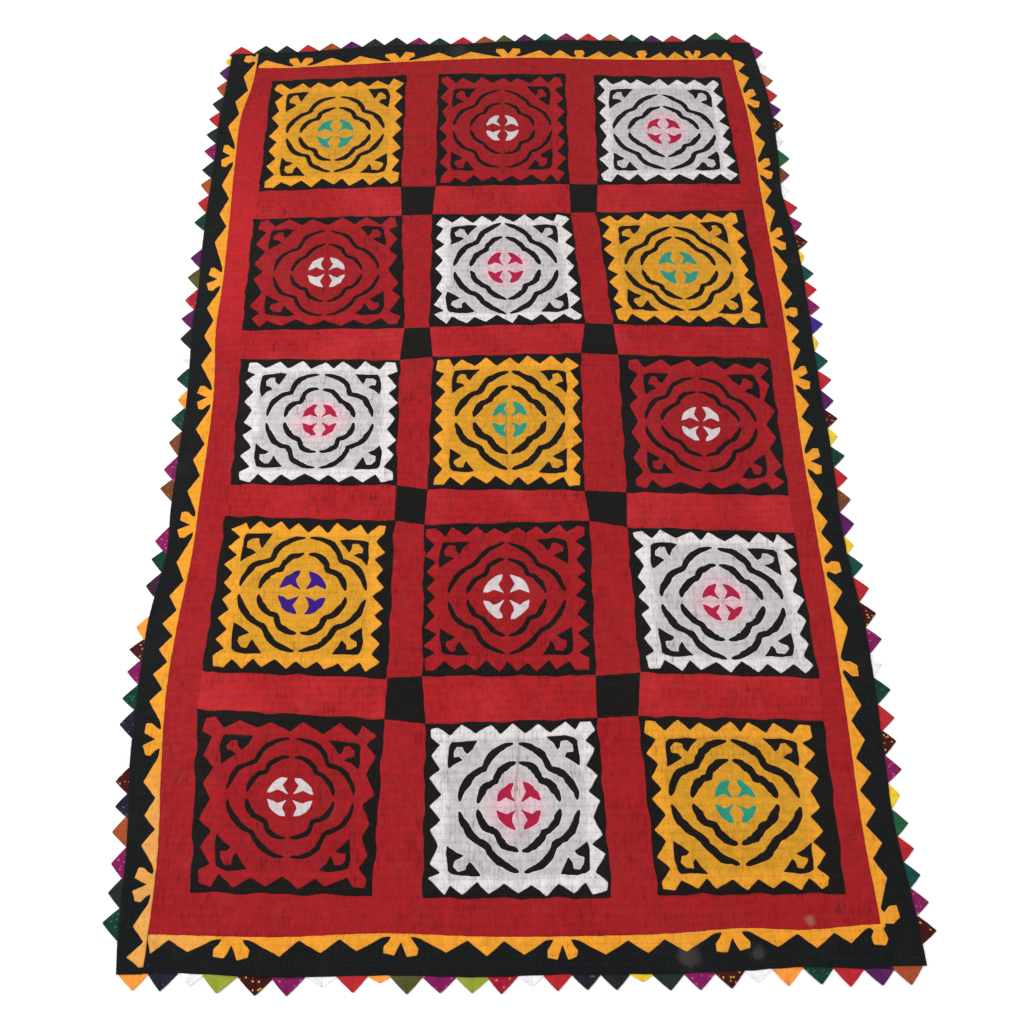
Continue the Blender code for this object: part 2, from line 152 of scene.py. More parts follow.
S = Scrap  # short, for the tables of points
SIDES: dict[str, Side] = {
    "left": Side(
        upright=True, outward=-1, strip=(1100, -1112),
        motifs=lobe(-30) + teeth(30, 112, 190) + fork(253, 307) + teeth(368, 452, 530) + fork(605, 655)
        + teeth(705, 775, 845) + fork(900, 945) + teeth(995, 1063, 1130) + fork(1178, 1222)
        + teeth(1275, 1340, 1393, 1440, 1485, 1533) + fork(1575, 1620) + teeth(1668, 1722, 1768)
        + fork(1806, 1848) + teeth(1888, 1932),
        rows=(
            (1116, -621, -690), (982, -628, -695), (882, -645, -700), (716, -646, -698), (494, -640, -698),
            (327, -637, -692), (216, -639, -693), (50, -626, -683), (-228, -626, -683), (-339, -627, -679),
            (-505, -639, -697), (-616, -643, -697), (-783, -633, -690), (-927, -620, -675),
            (-1060, -619, -670), (-1122, -620, -663),
        ),
        points=(
            (-25, S.YELLOW, 0.55), (12, S.PURPLE), (65, S.RUST), (117, S.BOTTLE), (165, S.RED),
            (215, S.BOTTLE), (265, S.MAGENTA), (318, S.BLACK), (368, S.RUST), (420, S.RED),
            (470, S.DARK_GREEN), (520, S.PALE, 0.8), (572, S.PURPLE), (625, S.OLIVE), (680, S.CRIMSON),
            (730, S.PURPLE), (778, S.BLACK), (830, S.PALE, 0.7), (875, S.DARK_GREEN), (925, S.ORANGE, 0.7),
            (970, S.DARK_GREEN), (1025, S.BROWN), (1080, S.MAGENTA), (1125, S.BROWN), (1175, S.PALE, 0.7),
            (1230, S.MAGENTA), (1270, S.DARK_GREEN), (1318, S.PLUM), (1355, S.PALE, 0.7),
            (1400, S.ORANGE, 0.8), (1440, S.MAROON), (1480, S.MAGENTA), (1525, S.DARK_GREEN),
            (1570, S.NAVY), (1620, S.PALE, 0.8), (1665, S.MAROON), (1705, S.NAVY, 0.9), (1745, S.RUST),
            (1795, S.MAGENTA), (1838, S.BOTTLE), (1885, S.DARK_GREEN),
        ),
    ),
    "right": Side(
        upright=True, outward=1, strip=(1050, -1062.5),
        motifs=teeth(15, 60) + fork(103, 152) + teeth(213, 268) + fork(320, 370) + teeth(410, 468)
        + fork(519, 569) + teeth(620, 690) + lobe(737) + teeth(785, 830) + fork(874, 919)
        + teeth(960, 1012) + fork(1062, 1108) + teeth(1155, 1212, 1262) + lobe(1303) + teeth(1350, 1417)
        + lobe(1484, 0.5) + teeth(1555, 1613, 1668, 1725, 1778, 1830) + lobe(1888, -0.35),
        rows=(
            (1116, 631, 684), (993, 637, 700), (882, 646, 708), (716, 649, 705), (605, 647, 697),
            (438, 649, 710), (216, 650, 708), (50, 646, 702), (-117, 641, 701), (-339, 641, 693),
            (-538, 642, 703), (-727, 638, 697), (-894, 633, 690), (-1060, 637, 700), (-1122, 638, 701),
        ),
        points=(
            (-28, S.MAGENTA), (20, S.PALE, 0.8), (66, S.RUST), (115, S.RED), (163, S.PURPLE),
            (210, S.MAROON), (260, S.PALE, 0.7), (312, S.GREEN), (362, S.BROWN), (408, S.PALE, 0.7),
            (455, S.RED), (503, S.MAGENTA), (550, S.MAROON), (592, S.YELLOW, 0.45), (635, S.TEAL),
            (678, S.RED), (722, S.MAGENTA), (768, S.INDIGO), (812, S.YELLOW, 0.45), (856, S.TEAL),
            (902, S.RED), (948, S.PURPLE), (990, S.MAROON), (1030, S.YELLOW, 0.7), (1075, S.DARK_GREEN),
            (1120, S.RED), (1167, S.BROWN), (1217, S.PURPLE), (1258, S.YELLOW, 0.7), (1298, S.TEAL),
            (1345, S.RED), (1393, S.MAROON), (1440, S.MAGENTA), (1485, S.PALE, 0.7), (1530, S.DARK_GREEN),
            (1576, S.RED), (1618, S.MAROON), (1661, S.MAGENTA), (1705, S.YELLOW, 0.7), (1747, S.GREEN),
            (1787, S.RED), (1826, S.TEAL), (1865, S.MAGENTA), (1905, S.MAROON),
        ),
    ),
    "top": Side(
        upright=False, outward=1, strip=(-617, 630),
        motifs=teeth(18) + fork(82, 130) + teeth(182, 252) + fork(322, 383) + teeth(450, 530)
        + fork(598, 648) + teeth(702, 752) + lobe(800) + teeth(850, 903) + lobe(955) + teeth(1002, 1038)
        + fork(1066, 1098) + teeth(1132, 1165),
        rows=(
            (-692, 1051, 1104), (-617, 1050, 1107), (-511, 1049, 1107), (-405, 1056, 1118),
            (-246, 1063, 1131), (-109, 1068, 1128), (40, 1072, 1134), (178, 1068, 1138), (337, 1059, 1130),
            (496, 1054, 1124), (602, 1052, 1129), (697, 1051, 1113),
        ),
        points=(
            (-46, S.RED), (14, S.BOTTLE), (68, S.BOTTLE), (121, S.RED), (176, S.RUST), (229, S.PURPLE),
            (284, S.BOTTLE), (340, S.BLACK), (397, S.MAGENTA), (452, S.DARK_GREEN), (508, S.RED),
            (566, S.RUST), (615, S.OLIVE), (666, S.PURPLE), (718, S.TEAL), (770, S.MAGENTA), (826, S.RED),
            (882, S.RUST), (936, S.DARK_GREEN), (987, S.PURPLE), (1039, S.RED), (1092, S.BLACK),
            (1146, S.GREEN), (1199, S.RED),
        ),
    ),
    "bottom": Side(
        upright=False, outward=-1, strip=(-617, 639.5),
        motifs=teeth(7, 67) + fork(113, 161) + teeth(215, 280, 338) + fork(386, 432) + teeth(482, 547, 607)
        + fork(648, 688) + teeth(737, 805, 866) + fork(918, 964) + teeth(1012, 1074, 1130) + lobe(1176),
        rows=(
            (-665, -1060, -1122), (-564, -1063, -1121), (-405, -1068, -1129), (-215, -1064, -1128),
            (-34, -1071, -1132), (103, -1072, -1129), (284, -1069, -1130), (411, -1062, -1126),
            (496, -1066, -1122), (633, -1058, -1126), (702, -1058, -1122),
        ),
        points=(
            (-16, S.ORANGE), (31, S.NAVY), (77, S.PALE, 0.7), (122, S.LIME), (179, S.MAROON),
            (231, S.MAGENTA), (284, S.PALE, 0.6), (333, S.RED), (377, S.ORANGE, 0.45), (419, S.OLIVE),
            (471, S.MAGENTA), (525, S.LIME), (572, S.CRIMSON), (617, S.PALE, 0.6), (659, S.RED),
            (704, S.NAVY), (750, S.BLACK), (792, S.YELLOW, 0.45), (834, S.BOTTLE), (884, S.MAGENTA),
            (931, S.MAROON), (977, S.PALE, 0.7), (1024, S.ORANGE), (1072, S.DARK_GREEN), (1120, S.RED),
            (1168, S.PURPLE), (1214, S.RUST),
        ),
    ),
}


class Panel(Enum):
    """The cloth of a cut-work panel: its finish and its slot."""

    YELLOW = ("Yellow panel cloth", "yellow_cloth")
    RED = ("Red panel cloth", "panel_red")
    WHITE = ("White panel cloth", "white_cloth")


class Patch(Enum):
    """The cloth under a panel's middle: its finish and its slot."""

    TEAL = ("teal", "scrap_cloth")
    INDIGO = ("indigo", "scrap_cloth")
    WHITE = ("white", "white_cloth")
    CRIMSON = ("crimson", "scrap_cloth")


@dataclass(frozen=True)
class BlockCut:
    """How one block was cut: its panel's and patch's cloth, its teeth, its black square, its motif.

    The motif's sizes are on a square from -1 to 1 over the panel, across and up.
    """

    cloth: Panel
    patch: Patch
    teeth: int
    corners: tuple[Spot, Spot, Spot, Spot]  # top left, top right, bottom right, bottom left
    margins: tuple[float, float, float, float]  # black shown at the left, right, top and bottom
    bulge: float  # how far the two lobes of a ring's quarter swell, from 0 to 1
    slot: float  # the rings' width in mm
    outer: Spot
    inner: Spot
    heart: Spot  # the reach of the four middle cut-outs
    middle: Spot


BLOCKS: tuple[tuple[BlockCut, ...], ...] = (
    (
        BlockCut(
            Panel.YELLOW, Patch.TEAL, 5, ((-578, 1001), (-225, 1013), (-229, 627), (-577, 619)),
            (10, 3, 11, 7), 0.5, 12.0, (0.73, 0.71), (0.52, 0.50), (0.27, 0.27), (-0.01, -0.03),
        ),
        BlockCut(
            Panel.RED, Patch.WHITE, 5, ((-142, 1016), (190, 1008), (183, 627), (-144, 626)), (7, 6, 11, 7),
            0.5, 9.0, (0.79, 0.73), (0.51, 0.48), (0.26, 0.235), (0.00, 0.00),
        ),
        BlockCut(
            Panel.WHITE, Patch.CRIMSON, 5, ((264, 1001), (593, 986), (602, 619), (252, 624)), (7, 4, 9, 7),
            0.2, 12.5, (0.77, 0.73), (0.54, 0.49), (0.26, 0.25), (0.00, -0.05),
        ),
    ),
    (
        BlockCut(
            Panel.RED, Patch.WHITE, 4, ((-582, 531), (-225, 535), (-210, 203), (-579, 203)), (13, 8, 3, 6),
            0.4, 8.6, (0.72, 0.78), (0.48, 0.53), (0.25, 0.27), (0.00, -0.03),
        ),
        BlockCut(
            Panel.WHITE, Patch.CRIMSON, 5, ((-151, 536), (182, 535), (199, 209), (-153, 205)), (8, 3, 4, 4),
            0.0, 12.5, (0.73, 0.83), (0.49, 0.58), (0.25, 0.285), (0.00, 0.00),
        ),
        BlockCut(
            Panel.YELLOW, Patch.TEAL, 5, ((244, 535), (595, 535), (610, 188), (262, 205)), (5, 11, 6, 7),
            0.4, 11.5, (0.74, 0.76), (0.52, 0.56), (0.265, 0.29), (0.00, -0.02),
        ),
    ),
    (
        BlockCut(
            Panel.WHITE, Patch.CRIMSON, 5, ((-572, 125), (-218, 117), (-217, -198), (-564, -191)),
            (14, 3, 4, 4), 0.7, 11.5, (0.69, 0.77), (0.45, 0.52), (0.225, 0.26), (0.00, 0.00),
        ),
        BlockCut(
            Panel.YELLOW, Patch.TEAL, 5, ((-145, 124), (185, 128), (175, -216), (-151, -209)), (7, 3, 6, 8),
            0.1, 14.0, (0.74, 0.76), (0.49, 0.52), (0.235, 0.275), (0.035, 0.00),
        ),
        BlockCut(
            Panel.RED, Patch.WHITE, 4, ((268, 122), (602, 107), (596, -235), (262, -222)), (16, 4, 11, 8),
            0.4, 9.5, (0.75, 0.72), (0.53, 0.50), (0.26, 0.26), (-0.035, -0.01),
        ),
    ),
    (
        BlockCut(
            Panel.YELLOW, Patch.INDIGO, 6, ((-567, -264), (-218, -281), (-222, -613), (-578, -595)),
            (13, 13, 8, 7), 0.6, 11.5, (0.77, 0.77), (0.53, 0.54), (0.29, 0.295), (0.00, 0.015),
        ),
        BlockCut(
            Panel.RED, Patch.WHITE, 6, ((-157, -290), (182, -286), (175, -613), (-156, -610)), (3, 8, 8, 7),
            0.3, 9.5, (0.72, 0.76), (0.48, 0.53), (0.28, 0.30), (0.00, 0.00),
        ),
        BlockCut(
            Panel.WHITE, Patch.CRIMSON, 5, ((257, -302), (594, -319), (598, -624), (260, -608)),
            (8, 4, 4, 6), 0.3, 13.0, (0.73, 0.79), (0.49, 0.54), (0.235, 0.26), (0.015, -0.035),
        ),
    ),
    (
        BlockCut(
            Panel.RED, Patch.WHITE, 4, ((-578, -668), (-225, -692), (-236, -1002), (-553, -993)),
            (11, 8, 13, 9), 0.6, 8.8, (0.73, 0.72), (0.50, 0.49), (0.26, 0.23), (0.035, 0.06),
        ),
        BlockCut(
            Panel.WHITE, Patch.CRIMSON, 5, ((-148, -702), (173, -695), (180, -1010), (-148, -1007)),
            (8, 4, 3, 4), 0.25, 12.5, (0.69, 0.75), (0.48, 0.52), (0.255, 0.275), (0.04, 0.00),
        ),
        BlockCut(
            Panel.YELLOW, Patch.TEAL, 5, ((250, -692), (593, -705), (584, -1007), (259, -1006)),
            (7, 23, 6, 6), 0.3, 13.8, (0.76, 0.74), (0.50, 0.50), (0.24, 0.255), (-0.01, 0.02),
        ),
    ),
)


# ---------------------------------------------------------------- lines and loops in the plan


class EdgeLine:
    """A smooth line through a table's rows, giving a value at any place along."""

    def __init__(self, rows: Iterable[Sequence[float]], column: int) -> None:
        """Reads one column of a table.

        Args:
            rows: The table, its first column the place along.
            column: The column that holds the value.
        """
        ordered = sorted(rows)
        self.along = np.array([row[0] for row in ordered], float)
        self.value = np.array([row[column] for row in ordered], float)
        self.slope = np.gradient(self.value, self.along)

    def __call__(self, place: float | np.ndarray) -> np.ndarray:
        """The line's value at one place or many."""
        place = np.clip(np.asarray(place, float), self.along[0], self.along[-1])
        i = np.clip(np.searchsorted(self.along, place, side="right") - 1, 0, len(self.along) - 2)
        span = self.along[i + 1] - self.along[i]
        t = (place - self.along[i]) / span
        start = (1 + 2 * t) * (1 - t) ** 2 * self.value[i] + t * (1 - t) ** 2 * span * self.slope[i]
        end = t * t * (3 - 2 * t) * self.value[i + 1] + t * t * (t - 1) * span * self.slope[i + 1]
        return start + end


RED_EDGE = {name: EdgeLine(side.rows, 1) for name, side in SIDES.items()}
OUTER_EDGE = {name: EdgeLine(side.rows, 2) for name, side in SIDES.items()}


def place_on(name: str, along: float, out: float) -> Spot:
    """The plan's point at a place along a side and a distance across it."""
    return (float(out), float(along)) if SIDES[name].upright else (float(along), float(out))


def along_side(name: str, reading: float) -> float:
    """A reading along a side as the plan's millimetres."""
    return Reading.y(reading) if SIDES[name].upright else Reading.x(reading)


def corner_of(upright: str, level: str) -> Spot:
    """Where two outer edge lines cross."""
    x, y = float(OUTER_EDGE[upright](0)), float(OUTER_EDGE[level](0))
    for _ in range(4):
        x = float(OUTER_EDGE[upright](y))
        y = float(OUTER_EDGE[level](x))
    return x, y


def soften(loop: Sequence[Spot], radius: float) -> Loop:
    """Rounds a loop's corners.

    Args:
        loop: The loop's corners.
        radius: How far from a corner its rounding starts, in mm.

    Returns:
        The loop with three points for each corner.
    """
    points = np.array(loop, float)
    rounded: Loop = []
    for i, here in enumerate(points):
        before, after = points[i - 1], points[(i + 1) % len(points)]
        start = before - here
        end = after - here
        for side in (start, end):
            length = np.hypot(*side)
            side *= min(radius, 0.4 * length) / max(length, 1e-6)
        for step in (here + start, here + 0.25 * (start + end), here + end):
            rounded.append((float(step[0]), float(step[1])))
    return rounded


def unevenly(
    loop: Sequence[Spot], step: float, amount: float, dice: random.Random, wave: float = 1.0
) -> Loop:
    """Gives a loop the unevenness of scissors and a hand-turned edge.

    Args:
        loop: The loop's points.
        step: The longest stretch left without a point, in mm.
        amount: How far the edge strays, in mm.
        dice: The piece's own dice.
        wave: How much longer its waves are than a cut edge's.

    Returns:
        The finer, uneven loop.
    """
    points = np.array(loop, float)
    nexts = np.roll(points, -1, axis=0)
    fine: list[np.ndarray] = []
    for here, there in zip(points, nexts):
        count = max(1, math.ceil(np.hypot(*(there - here)) / step))
        fine.extend(here + (there - here) * i / count for i in range(count))
    line = np.array(fine)
    run = np.concatenate([[0], np.cumsum(np.hypot(*(np.roll(line, -1, axis=0) - line).T))])[:-1]
    tangent = np.roll(line, -1, axis=0) - np.roll(line, 1, axis=0)
    tangent /= np.maximum(np.hypot(*tangent.T), 1e-6)[:, None]
    stray = sum(
        share * np.sin(2 * math.pi * run / (length * wave) + dice.uniform(0, 6.3))
        for share, length in ((0.5, dice.uniform(28, 44)), (0.35, dice.uniform(12, 19)), (0.15, 7.3))
    )
    line = line + np.column_stack([tangent[:, 1], -tangent[:, 0]]) * (stray * amount)[:, None]
    return [(float(x), float(y)) for x, y in line]


def smooth_line(points: Sequence[Spot], per_span: int) -> np.ndarray:
    """A curve through points, with per_span steps between each two."""
    knots = np.array([points[0], *points, points[-1]], float)
    steps = np.linspace(0, 1, per_span, endpoint=False)[:, None]
    spans = []
    for a, b, c, d in zip(knots, knots[1:], knots[2:], knots[3:]):
        bend, twist = 2 * a - 5 * b + 4 * c - d, 3 * b - a - 3 * c + d
        spans.append(0.5 * (2 * b + (c - a) * steps + bend * steps**2 + twist * steps**3))
    return np.vstack([*spans, knots[-1:]])


class Quad:
    """A four-cornered field of the plan, with a square from -1 to 1 laid over it."""

    def __init__(self, corners: Sequence[Spot]) -> None:
        """The corners run top left, top right, bottom right, bottom left."""
        self.top_left, self.top_right, self.bottom_right, self.bottom_left = (
            np.array(c, float) for c in corners
        )

    def at(self, u: float | np.ndarray, v: float | np.ndarray) -> np.ndarray:
        """The plan's points at places on the square."""
        right, up = (1 + np.asarray(u, float)) / 2, (1 + np.asarray(v, float)) / 2
        right, up = right[..., None], up[..., None]
        top = self.top_left * (1 - right) + self.top_right * right
        bottom = self.bottom_left * (1 - right) + self.bottom_right * right
        return bottom * (1 - up) + top * up

    def square(self, spots: np.ndarray) -> np.ndarray:
        """Places on the square of points of the plan."""
        uv = np.zeros_like(spots)
        for _ in range(6):
            here = self.at(uv[:, 0], uv[:, 1])
            du = (self.at(uv[:, 0] + 0.01, uv[:, 1]) - here) / 0.01
            dv = (self.at(uv[:, 0], uv[:, 1] + 0.01) - here) / 0.01
            off = spots - here
            det = du[:, 0] * dv[:, 1] - du[:, 1] * dv[:, 0]
            uv[:, 0] += (off[:, 0] * dv[:, 1] - off[:, 1] * dv[:, 0]) / det
            uv[:, 1] += (du[:, 0] * off[:, 1] - du[:, 1] * off[:, 0]) / det
        return uv


# ---------------------------------------------------------------- the quilted ground


@dataclass(frozen=True)
class Quilting:
    """The rows of running stitch, and how the quilt lies between them. Its sizes are in mm.

    A level is a place along the quilt on straight rows; the real rows waver off it.
    """

    pitch: float = 15.0
    step: float = 5.0  # between two lines of the mesh, three to a row
    thickness: float = 2.5
    puff: float = 0.8
    slow_waver: float = 4.0
    quick_waver: float = 1.1
    lie: float = 0.5

    def waver(self, x: np.ndarray, level: np.ndarray) -> np.ndarray:
        """How far a row strays from its level."""
        slow = np.sin(x / 310 + 1.3 * np.sin(level / 270)) * np.cos(level / 410)
        quick = np.sin(x / 53 + 2.3 * np.sin(level / 61) + level / 37)
        return self.slow_waver * slow + self.quick_waver * quick

    def level(self, x: np.ndarray, y: np.ndarray) -> np.ndarray:
        """The level whose row passes through a point of the plan."""
        level = np.array(y, float)
        for _ in range(12):
            level = y - self.waver(x, level)
        return level

    def top(self, x: np.ndarray, level: np.ndarray) -> np.ndarray:
        """The height of the quilted ground's upper face over the floor."""
        phase = level / self.pitch
        swell = np.abs(np.sin(np.pi * phase)) ** 0.7
        patchy = 0.62 + 0.38 * np.sin(x / 23 + 2.3 * phase) * np.sin(x / 51 - 1.1 * phase)
        lie = (
            np.sin(x / 61 + 1.1 * np.sin(level / 150)) * np.sin(level / 88 + x / 240)
            + 0.8 * np.sin(x / 137 - level / 190 + 0.9)
            + 0.5 * np.sin(x / 33 + level / 310)
        )
        return self.thickness + 0.5 + self.puff * patchy * swell + self.lie * lie


QUILTING = Quilting()


@dataclass
class ClothPiece:
    """A flat piece of cloth, cut to its loops, its edge turned in, and laid over the quilted ground."""

    name: str
    loops: Sequence[Sequence[Spot]]  # the outline, then the cut-outs
    layer: Layer
    turning: float = 3.0  # how wide its turned edge is, in mm, and nowhere more than SPIKE times that
    column: float = 14.0  # the mesh's columns, in mm
    thickness: float = 0.35
    field: Quad | None = None

    SPIKE = 2.2
    FLAT_ANGLE = 0.02  # two faces that meet at less than this become one
    SAME_PLACE = 0.02  # in mm

    def cut(self) -> bmesh.types.BMesh:
        """The piece cut out flat, with the ring of its turned edge."""
        shape = bmesh.new()
        rim = shape.verts.layers.float.new("rim")
        for loop in self.loops:
            verts = [shape.verts.new((x, y, 0.0)) for x, y in loop]
            for a, b in zip(verts, verts[1:] + verts[:1]):
                shape.edges.new((a, b))
        bmesh.ops.triangle_fill(shape, use_beauty=True, edges=shape.edges[:], normal=(0, 0, 1))
        inner = [e for e in shape.edges if not e.is_boundary]
        bmesh.ops.dissolve_limit(shape, angle_limit=self.FLAT_ANGLE, edges=inner)
        bmesh.ops.recalc_face_normals(shape, faces=shape.faces[:])
        if sum(f.normal.z for f in shape.faces) < 0:
            bmesh.ops.reverse_faces(shape, faces=shape.faces[:])
        bmesh.ops.inset_region(
            shape, faces=shape.faces[:], thickness=self.turning, use_boundary=True, use_even_offset=True
        )
        for vert in shape.verts:
            vert[rim] = 1.0 if vert.is_boundary else 0.0
        self._hold_turning(shape)
        return shape

    def _hold_turning(self, shape: bmesh.types.BMesh) -> None:
        """Keeps the turned edge's inner line from running off at sharp corners."""
        reach = self.SPIKE * self.turning
        for edge in shape.edges:
            outer, inner = edge.verts
            if outer.is_boundary == inner.is_boundary:
                continue
            if inner.is_boundary:
                outer, inner = inner, outer
            away = inner.co - outer.co
            if away.length > reach:
                inner.co = outer.co + away.normalized() * reach

    def rule(self, shape: bmesh.types.BMesh) -> None:
        """Cuts the mesh along the rows' levels and its columns."""
        spots = np.array([v.co[:2] for v in shape.verts], float)
        levels = QUILTING.level(spots[:, 0], spots[:, 1])
        for vert, level in zip(shape.verts, levels):
            vert.co.y = level
        lines = [((x, 0, 0), (1, 0, 0)) for x in self._marks(spots[:, 0], self.column)]
        lines += [((0, y, 0), (0, 1, 0)) for y in self._marks(levels, QUILTING.step)]
        for place, across in lines:
            parts = shape.verts[:] + shape.edges[:] + shape.faces[:]
            bmesh.ops.bisect_plane(shape, geom=parts, plane_co=place, plane_no=across, dist=self.SAME_PLACE)

    @staticmethod
    def _marks(places: np.ndarray, step: float) -> np.ndarray:
        """The multiples of a step within the reach of some places."""
        return np.arange(math.ceil(places.min() / step), places.max() / step) * step

    def lay(self, mesh: bpy.types.Mesh) -> None:
        """Lays the ruled mesh over the ground and gives it its UV maps."""
        x, level, _ = coordinates(mesh)
        upper, sewn = self.layer.value
        y = level + QUILTING.waver(x, level)
        height = QUILTING.top(x, level) + upper - (upper - sewn) * by_vertex(mesh, "rim")
        place_mesh(mesh, x, y, height)
        add_map(mesh, "rows", x * MM, level / QUILTING.pitch)
        if self.field is not None:
            uv = self.field.square(np.column_stack([x, y]))
            add_map(mesh, "panel", uv[:, 0], uv[:, 1])

    def build(self) -> bpy.types.Object:
        """The finished piece, its thickness given by a live modifier."""
        shape = self.cut()
        self.rule(shape)
        mesh = as_mesh(shape, self.name)
        self.lay(mesh)
        piece = new_object(mesh)
        thicken(piece, self.thickness)
        return piece


def as_mesh(shape: bmesh.types.BMesh, name: str) -> bpy.types.Mesh:
    """A finished shape as a mesh; the shape itself is freed."""
    mesh = bpy.data.meshes.new(name)
    shape.to_mesh(mesh)
    shape.free()
    return mesh


def coordinates(mesh: bpy.types.Mesh) -> np.ndarray:
    """A mesh's places as three rows: all x, all y, all z."""
    spots = np.empty(len(mesh.vertices) * 3)
    mesh.vertices.foreach_get("co", spots)
    return spots.reshape(-1, 3).T.copy()


def by_vertex(mesh: bpy.types.Mesh, name: str) -> np.ndarray:
    """A mesh's attribute of numbers by vertex."""
    numbers = np.empty(len(mesh.vertices))
    mesh.attributes[name].data.foreach_get("value", numbers)
    return numbers


def place_mesh(mesh: bpy.types.Mesh, x: np.ndarray, y: np.ndarray, z: np.ndarray) -> None:
    """Puts a mesh's vertices at points of the plan, and shades it smooth."""
    world = np.column_stack([x - MIDDLE[0], y - MIDDLE[1], z]) * MM
    mesh.vertices.foreach_set("co", world.ravel())
    shade_smooth(mesh)
    mesh.update()


def shade_smooth(mesh: bpy.types.Mesh) -> None:
    """Shades every face of a mesh smooth."""
    mesh.polygons.foreach_set("use_smooth", np.ones(len(mesh.polygons), bool))


def add_map(mesh: bpy.types.Mesh, name: str, u: np.ndarray, v: np.ndarray) -> None:
    """Adds a UV map given by vertex."""
    corners = np.empty(len(mesh.loops), int)
    mesh.loops.foreach_get("vertex_index", corners)
    layer = mesh.uv_layers.new(name=name)
    layer.data.foreach_set("uv", np.column_stack([u, v])[corners].ravel())


def new_object(data: bpy.types.ID) -> bpy.types.Object:
    """A linked object at the origin, named as its mesh, light or camera is."""
    thing = bpy.data.objects.new(data.name, data)
    bpy.context.scene.collection.objects.link(thing)
    return thing


def thicken(piece: bpy.types.Object, thickness: float) -> None:
    """Gives a cloth its thickness, downwards, in mm."""
    solid = piece.modifiers.new("Cloth thickness", "SOLIDIFY")
    solid.thickness = thickness * MM
    solid.offset = -1.0
    solid.use_even_offset = False


def hand_over(
    piece: bpy.types.Object, materials: Iterable[bpy.types.Material], slot: str, *nodes: str
) -> bpy.types.Object:
    """Dresses a piece, makes it ride and stand for its solids, and logs it.

    Args:
        piece: The piece.
        materials: Its materials, in the order of its faces' numbers.
        slot: The record's slot that its finish goes with; not used.
        nodes: The solids that it stands for.

    Returns:
        The piece.
    """
    for material in materials:
        piece.data.materials.append(material)
    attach(piece, "root")
    if nodes:
        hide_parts(*nodes)
    log.info("%s: %d faces", piece.name, len(piece.data.polygons))
    return piece


# ---------------------------------------------------------------- materials


def linear(colour: Colour) -> tuple[float, float, float, float]:
    """A colour of 0 to 255 as the renderer's linear one."""
    shares = [c / 255 for c in colour]
    red, green, blue = (s / 12.92 if s <= 0.04045 else ((s + 0.055) / 1.055) ** 2.4 for s in shares)
    return red, green, blue, 1.0


class Graph:
    """Adds nodes to a node tree and links them."""

    def __init__(self, tree: bpy.types.NodeTree) -> None:
        """The tree that the nodes go to."""
        self.tree = tree

    def put(self, socket: bpy.types.NodeSocket, value: object) -> None:
        """Links a socket to another, or sets its value."""
        if isinstance(value, bpy.types.NodeSocket):
            self.tree.links.new(value, socket)
        elif value is not None:
            socket.default_value = value

    def node(self, kind: str, inputs: dict | None = None, **settings: object) -> bpy.types.Node:
        """A node with its settings, and its inputs by name or number."""
        node = self.tree.nodes.new(kind)
        for name, value in settings.items():
            setattr(node, name, value)
        for name, value in (inputs or {}).items():
            self.put(node.inputs[name], value)
        return node

    def math(self, operation: str, *values: object, clamp: bool = False) -> bpy.types.NodeSocket:
        """The result of a Math node."""
        node = self.node("ShaderNodeMath", operation=operation, use_clamp=clamp)
        for socket, value in zip(node.inputs, values):
            self.put(socket, value)
        return node.outputs[0]

    def times(self, a: object, b: object) -> bpy.types.NodeSocket:
        """Two values multiplied."""
        return self.math("MULTIPLY", a, b)

    def plus(self, a: object, b: object) -> bpy.types.NodeSocket:
        """Two values added."""
        return self.math("ADD", a, b)

    def minus(self, a: object, b: object) -> bpy.types.NodeSocket:
        """A value less another."""
        return self.math("SUBTRACT", a, b)

    def hypot(self, a: object, b: object) -> bpy.types.NodeSocket:
        """The length of a line that reaches two values across and along."""
        return self.math("SQRT", self.plus(self.times(a, a), self.times(b, b)))

    def split(self, vector: object) -> bpy.types.bpy_prop_collection:
        """A vector's three parts."""
        return self.node("ShaderNodeSeparateXYZ", {0: vector}).outputs

    def group(self, tree: bpy.types.NodeTree, inputs: dict) -> bpy.types.bpy_prop_collection:
        """A group placed in the tree, as its outputs."""
        return self.node("ShaderNodeGroup", inputs, node_tree=tree).outputs

    def uv(self, name: str) -> bpy.types.NodeSocket:
        """A UV map of the piece."""
        return self.node("ShaderNodeUVMap", uv_map=name).outputs[0]

    def tint(self, share: object, colour: object, by: object) -> bpy.types.NodeSocket:
        """A colour, by a share of it multiplied by another."""
        return self.mix(share, colour, self.mix(1.0, colour, by, "MULTIPLY"))

    def ramp(
        self, value: object, low: float, high: float, start: float = 0.0, end: float = 1.0
    ) -> bpy.types.NodeSocket:
        """A smooth step of a value from start at low to end at high."""
        inputs = {0: value, 1: low, 2: high, 3: start, 4: end}
        return self.node("ShaderNodeMapRange", inputs, interpolation_type="SMOOTHSTEP").outputs[0]

    def mix(self, share: object, a: object, b: object, blend: str = "MIX") -> bpy.types.NodeSocket:
        """Two colours mixed."""
        inputs = {0: share, 6: a, 7: b}
        node = self.node("ShaderNodeMix", inputs, data_type="RGBA", blend_type=blend, clamp_factor=True)
        return node.outputs[2]

    def noise(
        self, where: object, scale: float, detail: float = 2.0, rough: float = 0.5
    ) -> bpy.types.NodeSocket:
        """A noise texture's value."""
        inputs = {"Vector": where, "Scale": scale, "Detail": detail, "Roughness": rough}
        return self.node("ShaderNodeTexNoise", inputs).outputs[0]

    def stretch(self, where: object, by: tuple[float, float, float]) -> bpy.types.NodeSocket:
        """Coordinates scaled differently on each axis."""
        return self.node("ShaderNodeMapping", {"Vector": where, "Scale": by}).outputs[0]


